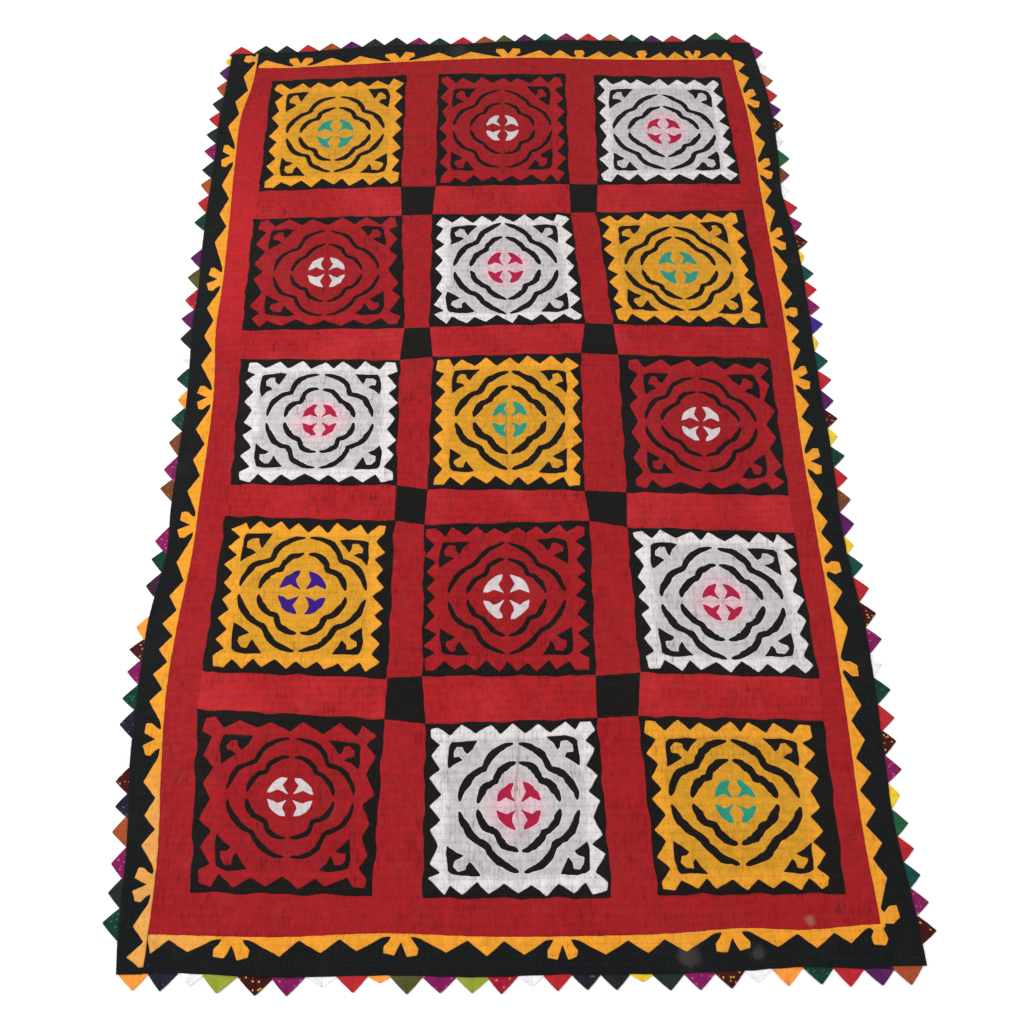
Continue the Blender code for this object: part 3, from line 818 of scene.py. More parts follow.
def new_material(name: str) -> tuple[bpy.types.Material, Graph, bpy.types.Node]:
    """A material, the graph of its nodes, and its shader."""
    material = bpy.data.materials.new(name)
    material.use_nodes = True
    return material, Graph(material.node_tree), material.node_tree.nodes["Principled BSDF"]


def new_group(
    name: str, inputs: dict[str, object], outputs: Sequence[str]
) -> tuple[bpy.types.NodeTree, Graph, dict, bpy.types.NodeInputs]:
    """A shader node group with named sockets.

    Args:
        name: The group's name.
        inputs: Each input's name and default; None makes it a vector.
        outputs: The names of its value outputs.

    Returns:
        The group, its graph, the values that it is given by name, and the sockets that it puts out.
    """
    tree = bpy.data.node_groups.new(name, "ShaderNodeTree")
    for label, default in inputs.items():
        kind = "NodeSocketVector" if default is None else "NodeSocketFloat"
        socket = tree.interface.new_socket(label, in_out="INPUT", socket_type=kind)
        if default is not None:
            socket.default_value = default
    for label in outputs:
        tree.interface.new_socket(label, in_out="OUTPUT", socket_type="NodeSocketFloat")
    start, end = tree.nodes.new("NodeGroupInput"), tree.nodes.new("NodeGroupOutput")
    return tree, Graph(tree), {s.name: s for s in start.outputs}, end.inputs


class Effects:
    """The node groups that the cloths share: weave, quilting with its painted shade and highlight, wear with
    the painted shade of the fold, stains and painted pools of light, print and panel zones.
    """

    def __init__(self) -> None:
        """Builds each group once."""
        self.weave = self._weave()
        self.quilting = self._quilting()
        self.wear_and_fold_shade = self._wear_and_fold_shade()
        self.stain = self._stain()
        self.print = self._print()
        self.zones = self._zones()

    def _weave(self) -> bpy.types.NodeTree:
        """A plain weave of uneven threads: its height in mm and its tone from 0 to 1."""
        tree, g, given, out = new_group("Plain weave", {"Vector": None, "Pitch": 0.6}, ("Height", "Tone"))
        parts = g.split(given["Vector"])
        turns = g.math("DIVIDE", 2000 * math.pi, given["Pitch"])
        drift = g.times(g.noise(given["Vector"], 90.0), 5.0)
        warp = g.math("SINE", g.math("MULTIPLY_ADD", parts[0], turns, drift))
        weft = g.math("SINE", g.math("MULTIPLY_ADD", parts[1], turns, drift))
        g.put(out["Height"], g.times(g.times(warp, weft), 0.03))
        along = g.noise(g.stretch(given["Vector"], (60.0, 1300.0, 1.0)), 1.0, 3.0)
        across = g.noise(g.stretch(given["Vector"], (1300.0, 60.0, 1.0)), 1.0, 3.0)
        g.put(out["Tone"], g.times(g.plus(along, across), 0.5))
        return tree

    def _quilting(self) -> bpy.types.NodeTree:
        """The rows and the puckers across them: height in mm, and masks of painted shade in the puckers' dark
        depths, painted highlight on their pale ridges and painted shade along the rows.
        """
        outputs = ("Height", "Streak", "Ridge", "Row")
        tree, g, given, out = new_group("Quilted puckers", {"Rows": None, "Depth": 1.0}, outputs)
        parts = g.split(given["Rows"])
        off = g.math("ABSOLUTE", g.minus(parts[1], g.math("ROUND", parts[1])))
        near = g.ramp(off, 0.0, 0.5, 1.0, 0.15)
        patch = g.ramp(g.noise(g.stretch(given["Rows"], (11.0, 0.17, 1.0)), 1.0, 2.0), 0.34, 0.66, 0.45, 1.25)
        bend = g.times(g.noise(g.stretch(given["Rows"], (40.0, 0.9, 1.0)), 1.0, 2.0), 0.006)
        moved = g.node("ShaderNodeCombineXYZ", {0: g.plus(parts[0], bend), 1: parts[1]}).outputs[0]
        fine = self._centred(g, moved, (230.0, 0.5, 1.0), 3.0, 0.6)
        broad = self._centred(g, moved, (62.0, 0.36, 1.0), 2.0, 0.5)
        crinkle = self._centred(g, moved, (420.0, 2.2, 1.0), 3.0, 0.65)
        pucker = g.times(fine, g.math("MULTIPLY_ADD", near, 0.9, 1.1))
        height = g.plus(g.math("MULTIPLY_ADD", broad, 3.2, pucker), g.times(crinkle, 0.45))
        height = g.times(g.times(height, patch), given["Depth"])
        groove = g.ramp(off, 0.0, 0.17, -0.16, 0.0)
        g.put(out["Height"], g.plus(height, groove))
        # Painted shade in the puckers' depths, strongest near the rows.
        low = g.times(g.ramp(fine, -0.17, -0.01, 0.85, 0.0), g.ramp(broad, -0.16, 0.08, 1.0, 0.4))
        shade = g.times(low, g.math("MULTIPLY_ADD", near, 0.35, 0.65))
        g.put(out["Streak"], g.times(shade, patch))
        # Painted highlight on the puckers' ridges.
        high = g.times(g.ramp(fine, 0.0, 0.16), g.ramp(broad, -0.08, 0.14, 0.25, 1.0))
        g.put(out["Ridge"], g.times(high, patch))
        # Painted shade along the rows' grooves.
        g.put(out["Row"], g.ramp(off, 0.0, 0.14, 1.0, 0.0))
        return tree

    @staticmethod
    def _centred(
        g: Graph, where: object, scale: tuple[float, float, float], detail: float, rough: float
    ) -> bpy.types.NodeSocket:
        """A stretched noise round nought."""
        return g.minus(g.noise(g.stretch(where, scale), 1.0, detail, rough), 0.5)

    def _wear_and_fold_shade(self) -> bpy.types.NodeTree:
        """What years do to a cloth: faded patches, mottling, soil and specks; and painted shade along the
        fold down the middle.
        """
        outputs = ("Fade", "Mottle", "Soil", "Speck", "Fold")
        tree, g, given, out = new_group("Years of use", {"Vector": None, "Fold at": 0.018}, outputs)
        where = given["Vector"]
        g.put(out["Fade"], g.ramp(g.noise(where, 4.5, 3.0), 0.4, 0.72))
        g.put(out["Mottle"], g.ramp(g.noise(where, 60.0, 5.0, 0.7), 0.28, 0.72, 0.86, 1.1))
        g.put(out["Soil"], g.ramp(g.noise(where, 17.0, 5.0, 0.62), 0.52, 0.8))
        g.put(out["Speck"], g.ramp(g.noise(where, 210.0, 1.0), 0.735, 0.78))
        # Painted shade along the fold down the middle: broad and soft, with a sharper crease line, both
        # broken up by noise.
        parts = g.split(where)
        swing = g.times(g.minus(g.noise(where, 4.0, 2.0, 0.5), 0.5), 0.05)
        off = g.math("ABSOLUTE", g.plus(g.minus(parts[0], given["Fold at"]), swing))
        soft_shade_patches = g.ramp(g.noise(g.stretch(where, (300.0, 14.0, 1.0)), 1.0, 3.0), 0.48, 0.66)
        soft = g.times(g.ramp(off, 0.002, 0.024, 0.45, 0.0), soft_shade_patches)
        crease_shade_patches = g.ramp(g.noise(g.stretch(where, (30.0, 5.0, 1.0)), 1.0, 3.0), 0.46, 0.6)
        crease = g.times(g.ramp(off, 0.0008, 0.0038, 1.0, 0.0), crease_shade_patches)
        g.put(out["Fold"], g.math("MAXIMUM", soft, crease))
        return tree

    def _stain(self) -> bpy.types.NodeTree:
        """A mask with a soft ragged edge round a place, for a stain or for a painted pool of light."""
        inputs = {"Vector": None, "Across": 0.0, "Along": 0.0, "Radius": 0.02}
        tree, g, given, out = new_group("Stain", inputs, ("Mask",))
        parts = g.split(given["Vector"])
        dx = g.minus(parts[0], given["Across"])
        dy = g.minus(parts[1], given["Along"])
        away = g.hypot(dx, dy)
        ragged = g.math("MULTIPLY_ADD", g.noise(given["Vector"], 70.0, 5.0, 0.65), 1.6, 0.1)
        share = g.math("DIVIDE", g.times(away, ragged), given["Radius"])
        g.put(out["Mask"], g.ramp(share, 0.25, 1.0, 1.0, 0.0))
        return tree

    def _print(self) -> bpy.types.NodeTree:
        """A small scattered print of flecks."""
        tree, g, given, out = new_group("Small print", {"Vector": None, "Size": 9.0}, ("Mask",))
        scale = g.math("DIVIDE", 1000.0, given["Size"])
        cells = g.node("ShaderNodeTexVoronoi", {"Vector": given["Vector"], "Scale": scale, "Randomness": 0.8})
        bent = g.math("MULTIPLY_ADD", g.noise(given["Vector"], 420.0), 0.35, cells.outputs["Distance"])
        g.put(out["Mask"], g.ramp(bent, 0.36, 0.42, 1.0, 0.0))
        return tree

    def _zones(self) -> bpy.types.NodeTree:
        """A cut-work panel's zones: the double cloth of its teeth, and the ring round its middle."""
        inputs = {"Panel": None, "Frame": 0.80, "Halo": 0.36}
        tree, g, given, out = new_group("Panel zones", inputs, ("Teeth", "Halo"))
        parts = g.split(given["Panel"])
        u, v = g.math("ABSOLUTE", parts[0]), g.math("ABSOLUTE", parts[1])
        bent = g.times(g.minus(g.noise(given["Panel"], 3.0, 4.0), 0.5), 0.16)
        out_by = g.minus(g.plus(g.math("MAXIMUM", u, v), bent), given["Frame"])
        g.put(out["Teeth"], g.ramp(out_by, -0.05, 0.05, 0.0, 0.9))
        share = g.math("DIVIDE", g.plus(g.hypot(u, v), g.times(bent, 2.0)), given["Halo"])
        g.put(out["Halo"], g.ramp(share, 0.5, 1.3, 1.0, 0.0))
        return tree


@dataclass(frozen=True)
class Stain:
    """A listed mark, a stain or a painted pool of light: its reading on the photograph, its size in mm, its
    strength and its colour.
    """

    across: float
    down: float
    radius: float
    strength: float
    colour: Colour


@dataclass(frozen=True)
class ClothFinish:
    """A woven cotton cloth's finish."""

    name: str
    colour: Colour
    edge: Colour | None = None  # where the cloth lies double: turned edges and teeth
    faded: Colour | None = None
    soil: float = 0.12
    # How strongly the painted shade in the puckers' depths and along the rows, and the painted highlight on
    # their ridges, show.
    streak: float = 0.5
    shade: Colour = (96, 84, 84)  # the painted shade that the depths of the puckers are multiplied by
    fade: float = 0.4
    # How strongly the painted shade along the fold down the middle shows.
    fold: float = 0.0
    speck: float = 0.25
    halo: Colour | None = None
    figure: Colour | None = None
    stains_and_light_pools: tuple[Stain, ...] = ()
    panel: bool = False
    quilted: bool = True
    pucker: float = 1.0
    roughness: float = 0.95
    sheen: float = 0.03

    LIT_RIDGE = (1.45, 1.38, 1.38, 1.0)
    ROW_SHADE = (150, 140, 140)
    FOLD_SHADE = (164, 134, 118)
    SOIL_COLOUR = (96, 84, 74)
    SPECK_COLOUR = (60, 48, 44)

    def material(self, effects: Effects) -> bpy.types.Material:
        """The finish as a node material.

        Args:
            effects: The node groups that the cloths share.

        Returns:
            The material.
        """
        material, g, shader = new_material(self.name)
        where = g.node("ShaderNodeTexCoord").outputs["Object"]
        weave = g.group(effects.weave, {"Vector": where})
        wear_and_fold_shade = g.group(effects.wear_and_fold_shade, {"Vector": where})
        colour, height = self._dyed(g, effects, where), weave["Height"]
        if self.quilted:
            quilting = g.group(effects.quilting, {"Rows": g.uv("rows"), "Depth": self.pucker})
            height = g.plus(height, quilting["Height"])
            colour = self._puckered(g, quilting, colour)
        colour = self._stained_and_lit(g, effects, where, self._worn_and_fold_shaded(g, wear_and_fold_shade, colour))
        tone = g.times(g.ramp(weave["Tone"], 0.25, 0.75, 0.86, 1.12), wear_and_fold_shade["Mottle"])
        grey = g.node("ShaderNodeCombineColor", {0: tone, 1: tone, 2: tone}).outputs[0]
        colour = g.mix(1.0, colour, grey, "MULTIPLY")
        g.put(shader.inputs["Base Color"], colour)
        rough = g.math("MULTIPLY_ADD", weave["Tone"], 0.12, self.roughness - 0.06)
        g.put(shader.inputs["Roughness"], rough)
        shader.inputs["Sheen Weight"].default_value = self.sheen
        shader.inputs["Specular IOR Level"].default_value = 0.12
        bump = g.node("ShaderNodeBump", {"Height": height, "Strength": 1.0, "Distance": MM})
        g.put(shader.inputs["Normal"], bump.outputs[0])
        return material

    def _dyed(self, g: Graph, effects: Effects, where: bpy.types.NodeSocket) -> object:
        """The cloth's colour when new: its dye, its print, its double parts and its panel's ring."""
        colour: object = linear(self.colour)
        if self.figure:
            mask = g.group(effects.print, {"Vector": where})["Mask"]
            colour = g.mix(mask, colour, linear(self.figure))
        rim = g.node("ShaderNodeAttribute", attribute_name="rim").outputs["Fac"]
        double = g.ramp(rim, 0.15, 0.6)
        if self.panel:
            zones = g.group(effects.zones, {"Panel": g.uv("panel")})
            double = g.math("MAXIMUM", double, zones["Teeth"])
            if self.halo:
                colour = g.mix(g.times(zones["Halo"], 0.6), colour, linear(self.halo))
        if self.edge:
            colour = g.mix(double, colour, linear(self.edge))
        return colour

    def _puckered(self, g: Graph, quilting: bpy.types.bpy_prop_collection, colour: object) -> object:
        """A colour with painted shade in the puckers' depths and the rows' grooves, and a painted highlight
        on the ridges.
        """
        # Painted shade in the puckers' depths and along the rows, and a painted highlight on the ridges.
        for name, share, by in (
            ("Streak", 1.0, linear(self.shade)),
            ("Ridge", 0.4, self.LIT_RIDGE),
            ("Row", 0.12, linear(self.ROW_SHADE)),
        ):
            colour = g.tint(g.times(quilting[name], share * self.streak), colour, by)
        return colour

    def _worn_and_fold_shaded(self, g: Graph, wear_and_fold_shade: bpy.types.bpy_prop_collection, colour: object) -> object:
        """A colour faded, soiled and specked, with painted shade along the fold."""
        faded = self.faded or tuple(int(c + (200 - c) * 0.1) for c in self.colour)
        colour = g.mix(g.times(wear_and_fold_shade["Fade"], self.fade), colour, g.mix(0.5, colour, linear(faded)))
        colour = g.mix(g.times(wear_and_fold_shade["Soil"], self.soil), colour, linear(self.SOIL_COLOUR))
        colour = g.mix(g.times(wear_and_fold_shade["Speck"], self.speck), colour, linear(self.SPECK_COLOUR))
        # Painted shade along the fold down the middle.
        if self.fold:
            colour = g.tint(g.times(wear_and_fold_shade["Fold"], self.fold), colour, linear(self.FOLD_SHADE))
        return colour

    def _stained_and_lit(self, g: Graph, effects: Effects, where: bpy.types.NodeSocket, colour: object) -> object:
        """A colour with the listed marks: stains, and painted pools of light."""
        for stain in self.stains_and_light_pools:
            x = (Reading.x(stain.across) - MIDDLE[0]) * MM
            y = (Reading.y(stain.down) - MIDDLE[1]) * MM
            inputs = {"Vector": where, "Across": x, "Along": y, "Radius": stain.radius * MM}
            # Each mask is a stain, or a painted pool of light.
            mask = g.group(effects.stain, inputs)["Mask"]
            colour = g.mix(g.times(mask, stain.strength), colour, linear(stain.colour))
        return colour


@dataclass(frozen=True)
class ThreadFinish:
    """A spun cotton thread."""

    name: str
    colour: Colour

    def material(self) -> bpy.types.Material:
        """The thread's material, with its twist."""
        material, g, shader = new_material(self.name)
        where = g.node("ShaderNodeTexCoord").outputs["Object"]
        twist = g.noise(g.stretch(where, (900.0, 2600.0, 900.0)), 1.0, 1.0)
        dark = tuple(int(c * 0.7) for c in self.colour)
        g.put(shader.inputs["Base Color"], g.mix(twist, linear(dark), linear(self.colour)))
        shader.inputs["Roughness"].default_value = 0.8
        bump = g.node("ShaderNodeBump", {"Height": twist, "Strength": 0.6, "Distance": 0.1 * MM})
        g.put(shader.inputs["Normal"], bump.outputs[0])
        return material


@dataclass(frozen=True)
class FloorFinish:
    """A plain, pale, matt floor."""

    name: str = "Pale floor"
    colour: Colour = (255, 255, 255)

    def material(self) -> bpy.types.Material:
        """The floor's material."""
        material, _, shader = new_material(self.name)
        shader.inputs["Base Color"].default_value = linear(self.colour)
        shader.inputs["Roughness"].default_value = 0.9
        shader.inputs["Specular IOR Level"].default_value = 0.1
        return material


class Wardrobe:
    """Every cloth's material, made once."""

    def __init__(self) -> None:
        """Builds the effects, then the cloths."""
        self.effects = Effects()
        self.cloth = {f.name: f.material(self.effects) for f in self._finishes()}
        self.scraps = {scrap: self._scrap(scrap).material(self.effects) for scrap in Scrap}

    @staticmethod
    def _finishes() -> tuple[ClothFinish, ...]:
        """The finishes of the ground, the blocks and the border."""
        border_marks = (
            Stain(868, 1940, 24, 0.22, (110, 106, 100)), Stain(980, 1936, 14, 0.2, (110, 106, 100)),
            Stain(500, -45, 34, 0.15, (92, 90, 82)),
        )
        field_stains_and_light_pools = (
            Stain(1070, 1890, 10, 0.55, (150, 120, 104)), Stain(1095, 1890, 6, 0.5, (92, 40, 36)),
            # The two wide, brighter red marks at 20 across are painted light: a pool of light over the red
            # towards the left middle.
            Stain(1155, 1765, 4, 0.6, (60, 30, 30)), Stain(20, 560, 330, 0.75, (182, 34, 40)),
            Stain(20, 330, 260, 0.5, (178, 33, 38)),
        )
        bleached = (
            Stain(-30, 1790, 190, 0.8, (216, 156, 84)), Stain(-30, 1930, 150, 0.8, (222, 158, 82)),
            Stain(10, -45, 40, 0.4, (206, 156, 88)),
        )
        return (
            ClothFinish(
                "Red field cloth", (155, 26, 31), stains_and_light_pools=field_stains_and_light_pools, fold=0.3, streak=0.6, pucker=2.0
            ),
            ClothFinish(
                "Bright red sash cloth", (162, 28, 33), faded=(222, 62, 66), fold=0.3, streak=0.8, fade=0.6,
                pucker=2.2,
            ),
            ClothFinish("Black cloth", (20, 18, 17), soil=0.05, streak=0.3, fade=0.25, speck=0.2),
            ClothFinish(
                "Black border cloth", (18, 20, 21), soil=0.05, streak=0.3, fade=0.25, stains_and_light_pools=border_marks
            ),
            ClothFinish(
                "Yellow strip cloth", (228, 150, 42), edge=(236, 158, 54), streak=0.4, stains_and_light_pools=bleached
            ),
            ClothFinish(
                "Yellow panel cloth", (205, 145, 37), edge=(227, 153, 43), shade=(150, 120, 60), panel=True,
                fold=0.4, pucker=1.7,
            ),
            ClothFinish(
                "Red panel cloth", (148, 24, 30), edge=(156, 26, 32), panel=True, fold=0.3, streak=0.7,
                pucker=1.7,
            ),
            ClothFinish(
                "White panel cloth", (190, 186, 187), edge=(221, 215, 216), halo=(224, 172, 184),
                shade=(128, 122, 126), panel=True, fold=0.38, soil=0.1, streak=0.75, pucker=1.9,
            ),
            ClothFinish("teal", (42, 138, 116), streak=0.3, fade=0.3),
            ClothFinish("indigo", (50, 24, 118), streak=0.3, fade=0.3),
            ClothFinish("white", (198, 190, 192), streak=0.4, fade=0.3, shade=(128, 122, 126)),
            ClothFinish("crimson", (166, 26, 62), streak=0.3, fade=0.3),
        )

    @staticmethod
    def _scrap(scrap: Scrap) -> ClothFinish:
        """The finish of a prairie point's scrap cloth."""
        colour, figure = scrap.value
        return ClothFinish(
            f"{scrap.name.lower()}_scrap", colour, figure=figure, quilted=False, soil=0.12, fade=0.4,
            speck=0.15,
        )


# ---------------------------------------------------------------- the pieces


@dataclass
class QuiltBody:
    """The layered, quilted ground: one cloth-covered sheet, flat below."""

    wardrobe: Wardrobe
    inset: float = 6.0  # the border covers its edge by this much
    columns: int = 58
    name: str = "quilted_ground"
    piece: bpy.types.Object | None = None

    LOW, HIGH = -1140.0, 1145.0  # the levels that its mesh starts from
    SAME_PLACE = 0.2  # in mm

    def build(self) -> None:
        """Builds, dresses and hands over the ground."""
        first, last = math.floor(self.LOW / QUILTING.step), math.ceil(self.HIGH / QUILTING.step)
        shape = bmesh.new()
        bmesh.ops.create_grid(shape, x_segments=self.columns, y_segments=last - first, size=1.0)
        grid = as_mesh(shape, self.name)
        across, along, _ = coordinates(grid)
        share = (across + 1) / 2
        level = (np.round((along + 1) / 2 * (last - first)) + first) * QUILTING.step
        left = OUTER_EDGE["left"](level) + self.inset
        right = OUTER_EDGE["right"](level) - self.inset
        x = left + share * (right - left)
        y = level + QUILTING.waver(x, level)
        y = np.clip(y, OUTER_EDGE["bottom"](x) + self.inset, OUTER_EDGE["top"](x) - self.inset)
        level = QUILTING.level(x, y)
        grid.vertices.foreach_set("co", np.column_stack([x, y, level]).ravel())
        shape = bmesh.new()
        shape.from_mesh(grid)
        bpy.data.meshes.remove(grid)
        bmesh.ops.remove_doubles(shape, verts=shape.verts[:], dist=self.SAME_PLACE)
        upper = shape.verts.layers.float.new("upper")
        for vert in shape.verts:
            vert[upper] = 1.0
        lower = bmesh.ops.extrude_face_region(shape, geom=shape.faces[:])["geom"]
        for part in lower:
            if isinstance(part, bmesh.types.BMVert):
                part[upper] = 0.0
        bmesh.ops.recalc_face_normals(shape, faces=shape.faces[:])
        mesh = as_mesh(shape, self.name)
        self._lay(mesh)
        self.piece = new_object(mesh)
        hand_over(self.piece, [self.wardrobe.cloth["Red field cloth"]], "ground_red", "quilt_body")

    @staticmethod
    def _lay(mesh: bpy.types.Mesh) -> None:
        """Raises the upper face over the rows, and lays the lower one on the floor."""
        x, y, level = coordinates(mesh)
        place_mesh(mesh, x, y, QUILTING.top(x, level) * by_vertex(mesh, "upper"))
        add_map(mesh, "rows", x * MM, level / QUILTING.pitch)
        mesh.attributes.remove(mesh.attributes["upper"])


class Motif:
    """The cut-work pattern on a square from -1 to 1, drawn for its first quarter and turned to the others."""

    QUARTERS = ((1, 1), (-1, 1), (-1, -1), (1, -1))
    VALLEY = 0.87
    FIRST_VALLEY = 0.75
    JITTER = 0.18
    CORNER_AT = 0.775
    CORNER_LEG = 0.325
    # A ring slot's middle line in a quarter, in shares of the ring's radius: shallow lobes, then swollen ones
    SHALLOW = (
        (0.03, 1.00), (0.15, 0.94), (0.28, 0.87), (0.40, 0.78), (0.49, 0.70), (0.57, 0.60), (0.68, 0.53),
        (0.79, 0.43), (0.88, 0.31), (0.95, 0.18), (0.99, 0.07),
    )
    SWOLLEN = (
        (0.06, 0.98), (0.22, 0.98), (0.37, 0.93), (0.49, 0.83), (0.55, 0.71), (0.60, 0.61), (0.71, 0.56),
        (0.83, 0.47), (0.92, 0.35), (0.98, 0.21), (1.00, 0.08),
    )
    WIDTH = (
        (0.0, 0.05, 0.14, 0.26, 0.42, 0.5, 0.58, 0.76, 0.9, 0.96, 1.0),
        (0.25, 0.6, 0.9, 1.1, 0.95, 1.0, 0.9, 1.15, 0.85, 0.55, 0.25),
    )
    # From the corner's own point, along the level leg and down the upright one
    CORNER = (
        (1.08, -0.04), (0.78, -0.07), (0.42, -0.06), (0.09, -0.02), (-0.02, 0.09), (-0.06, 0.42),
        (-0.07, 0.78), (-0.04, 1.08), (0.24, 0.86), (0.50, 0.70), (0.35, 0.58), (0.15, 0.54), (0.13, 0.32),
        (0.32, 0.13), (0.54, 0.15), (0.58, 0.35), (0.70, 0.50), (0.86, 0.24),
    )
    HEART = (
        (0.17, 0.99), (0.40, 0.96), (0.60, 0.85), (0.77, 0.70), (0.89, 0.52), (0.96, 0.35), (0.99, 0.18),
        (0.79, 0.24), (0.57, 0.37), (0.38, 0.28), (0.12, 0.16), (0.27, 0.39), (0.36, 0.60), (0.24, 0.80),
    )

    def __init__(self, block: BlockCut, field: Quad, dice: random.Random) -> None:
        """The block's cut, the field that its tooth tips reach, and its own dice."""
        self.block, self.field, self.dice = block, field, dice

    def _laid(self, loop: Iterable[Spot]) -> Loop:
        """A loop of the square laid on the plan."""
        u, v = np.array(list(loop), float).T
        return [(float(x), float(y)) for x, y in self.field.at(u, v)]

    def outline(self) -> Loop:
        """The panel's edge: four sawtooth sides with a blunt lug at each corner."""
        turns = (lambda a, b: (a, b), lambda a, b: (b, -a), lambda a, b: (-a, -b), lambda a, b: (-b, a))
        edge = [turn(a, b) for turn in turns for a, b in self._sawtooth() + self._lug()]
        return unevenly(soften(self._laid(edge), 2.4), 9.0, 0.7, self.dice)

    def _sawtooth(self) -> Loop:
        """One side of the edge, from its first valley to its last."""
        width = 2 * self.FIRST_VALLEY / self.block.teeth
        side = [(-self.FIRST_VALLEY, self.VALLEY - 0.01)]
        for tooth in range(self.block.teeth):
            middle = -self.FIRST_VALLEY + (tooth + 0.5) * width
            tip = middle + self.dice.uniform(-1, 1) * self.JITTER * width
            side.append((tip, 1 - self.dice.uniform(-0.01, 0.035)))
            side.append((middle + width / 2, self.VALLEY - self.dice.uniform(-0.02, 0.025)))
        return side

    def _lug(self) -> Loop:
        """The blunt lug at the side's far corner, each cut its own way."""
        near, far = self.dice.uniform(0.80, 0.89), self.dice.uniform(0.80, 0.90)
        lug = [(near, self.dice.uniform(0.97, 1.0)), (self.dice.uniform(0.96, 1.0), far)]
        if self.dice.random() < 0.7:
            lug.insert(1, (self.dice.uniform(0.94, 0.985), self.dice.uniform(0.95, 0.99)))
        return lug

    def _strayed(self, points: Iterable[Spot], amount: float) -> Loop:
        """Points moved a little, each its own way."""
        return [tuple(c + self.dice.uniform(-amount, amount) for c in point) for point in points]

    def _turned(self, points: Iterable[Spot], signs: tuple[int, int]) -> Loop:
        """Points of the first quarter turned to another, round the motif's own middle."""
        (u, v), (across, up) = self.block.middle, signs
        return [(u + x * across, v + y * up) for x, y in points]

    def _slot(self, radii: Spot, signs: tuple[int, int]) -> Loop:
        """A ring's slot in a quarter: two lobes that meet in a cusp, with blunt ends."""
        bulge = min(1.0, max(0.0, self.block.bulge + self.dice.uniform(-0.25, 0.25)))
        cusp = self.dice.uniform(0.94, 1.0)
        line = []
        for i, ((a, b), (c, d)) in enumerate(zip(self.SHALLOW, self.SWOLLEN)):
            pull = 1 - (1 - cusp) * max(0.0, 1 - abs(i - 5) / 2)
            wide, high = (radius * pull for radius in radii)
            line.append((wide * (a * (1 - bulge) + c * bulge), high * (b * (1 - bulge) + d * bulge)))
        line = self._turned(smooth_line(self._strayed(line, 0.007), 2), signs)
        spots = np.array(self._laid(line))
        ahead = np.gradient(spots, axis=0)
        ahead /= np.hypot(*ahead.T)[:, None]
        width = np.interp(np.linspace(0, 1, len(spots)), *self.WIDTH) * self.block.slot / 2
        side = np.column_stack([-ahead[:, 1], ahead[:, 0]])
        left = spots + side * (width * [self.dice.uniform(0.84, 1.2) for _ in width])[:, None]
        right = spots - side * (width * [self.dice.uniform(0.84, 1.2) for _ in width])[:, None]
        return [(float(x), float(y)) for x, y in np.vstack([left, right[::-1]])]

    def _corner(self, signs: tuple[int, int]) -> Loop:
        """The cut-out in a corner: two hooked legs round a bud that points outward."""
        across, up = (self.CORNER_AT + self.dice.uniform(-0.03, 0.03) for _ in range(2))
        level, upright = (self.CORNER_LEG + self.dice.uniform(-0.03, 0.03) for _ in range(2))
        drawn = [(across - a * level, up - b * upright) for a, b in self._strayed(self.CORNER, 0.04)]
        loop = [(x * signs[0], y * signs[1]) for x, y in drawn]
        return unevenly(soften(self._laid(loop), 1.8), 8.0, 0.4, self.dice)

    def _heart(self, signs: tuple[int, int]) -> Loop:
        """One of the four swallow-tailed cut-outs in the middle."""
        wide, high = self.block.heart
        drawn = [(x * wide, y * high) for x, y in self._strayed(self.HEART, 0.03)]
        return unevenly(soften(self._laid(self._turned(drawn, signs)), 1.8), 8.0, 0.3, self.dice)

    def cuts(self) -> list[Loop]:
        """The sixteen cut-outs, four in each quarter."""
        loops = []
        for signs in self.QUARTERS:
            loops += [self._slot(self.block.outer, signs), self._slot(self.block.inner, signs)]
            loops += [self._corner(signs), self._heart(signs)]
        return loops

    def patch(self) -> Loop:
        """The outline of the cloth under the middle cut-outs."""
        (wide, high), turns = self.block.heart, np.linspace(0, 2 * math.pi, 25)[:-1]
        round_it = [(1.13 * wide * math.cos(a), 1.13 * high * math.sin(a)) for a in turns]
        return unevenly(self._laid(self._turned(round_it, (1, 1))), 12.0, 1.0, self.dice)


@dataclass
class Block:
    """A black square, the patch on it, and the cut-work panel over both."""

    row: int
    column: int
    wardrobe: Wardrobe
    pieces: list[bpy.types.Object] = field(default_factory=list)

    def build(self) -> None:
        """Builds, dresses and hands over the block's three pieces."""
        block = BLOCKS[self.row][self.column]
        label = f"{self.row + 1}_{self.column + 1}"
        dice = random.Random(self.row * 10 + self.column)
        (tl, tr, br, bl), (left, right, top, bottom) = block.corners, block.margins
        field_corners = (
            (tl[0] + left, tl[1] - top), (tr[0] - right, tr[1] - top), (br[0] - right, br[1] + bottom),
            (bl[0] + left, bl[1] + bottom),
        )
        panel_field = Quad(field_corners)
        motif = Motif(block, panel_field, dice)
        outline = motif.outline()
        cuts = motif.cuts()
        square = unevenly(soften(block.corners, 1.5), 16.0, 3.0, dice, wave=3.2)
        ground = ClothPiece(f"black_square_{label}", [square], Layer.GROUND, column=20.0).build()
        patch = ClothPiece(f"centre_patch_{label}", [motif.patch()], Layer.PATCH, turning=2.0).build()
        panel = ClothPiece(
            f"cutwork_{label}", [outline, *cuts], Layer.PANEL, turning=2.2, column=11.0, field=panel_field
        ).build()
        cloth = self.wardrobe.cloth
        (patch_cloth, patch_slot), (panel_cloth, panel_slot) = block.patch.value, block.cloth.value
        hand_over(ground, [cloth["Black cloth"]], "black_cloth", f"ground_square_{label}")
        hand_over(patch, [cloth[patch_cloth]], patch_slot)
        hand_over(panel, [cloth[panel_cloth]], panel_slot, f"cutwork_panel_{label}")
        self.pieces += [ground, patch, panel]


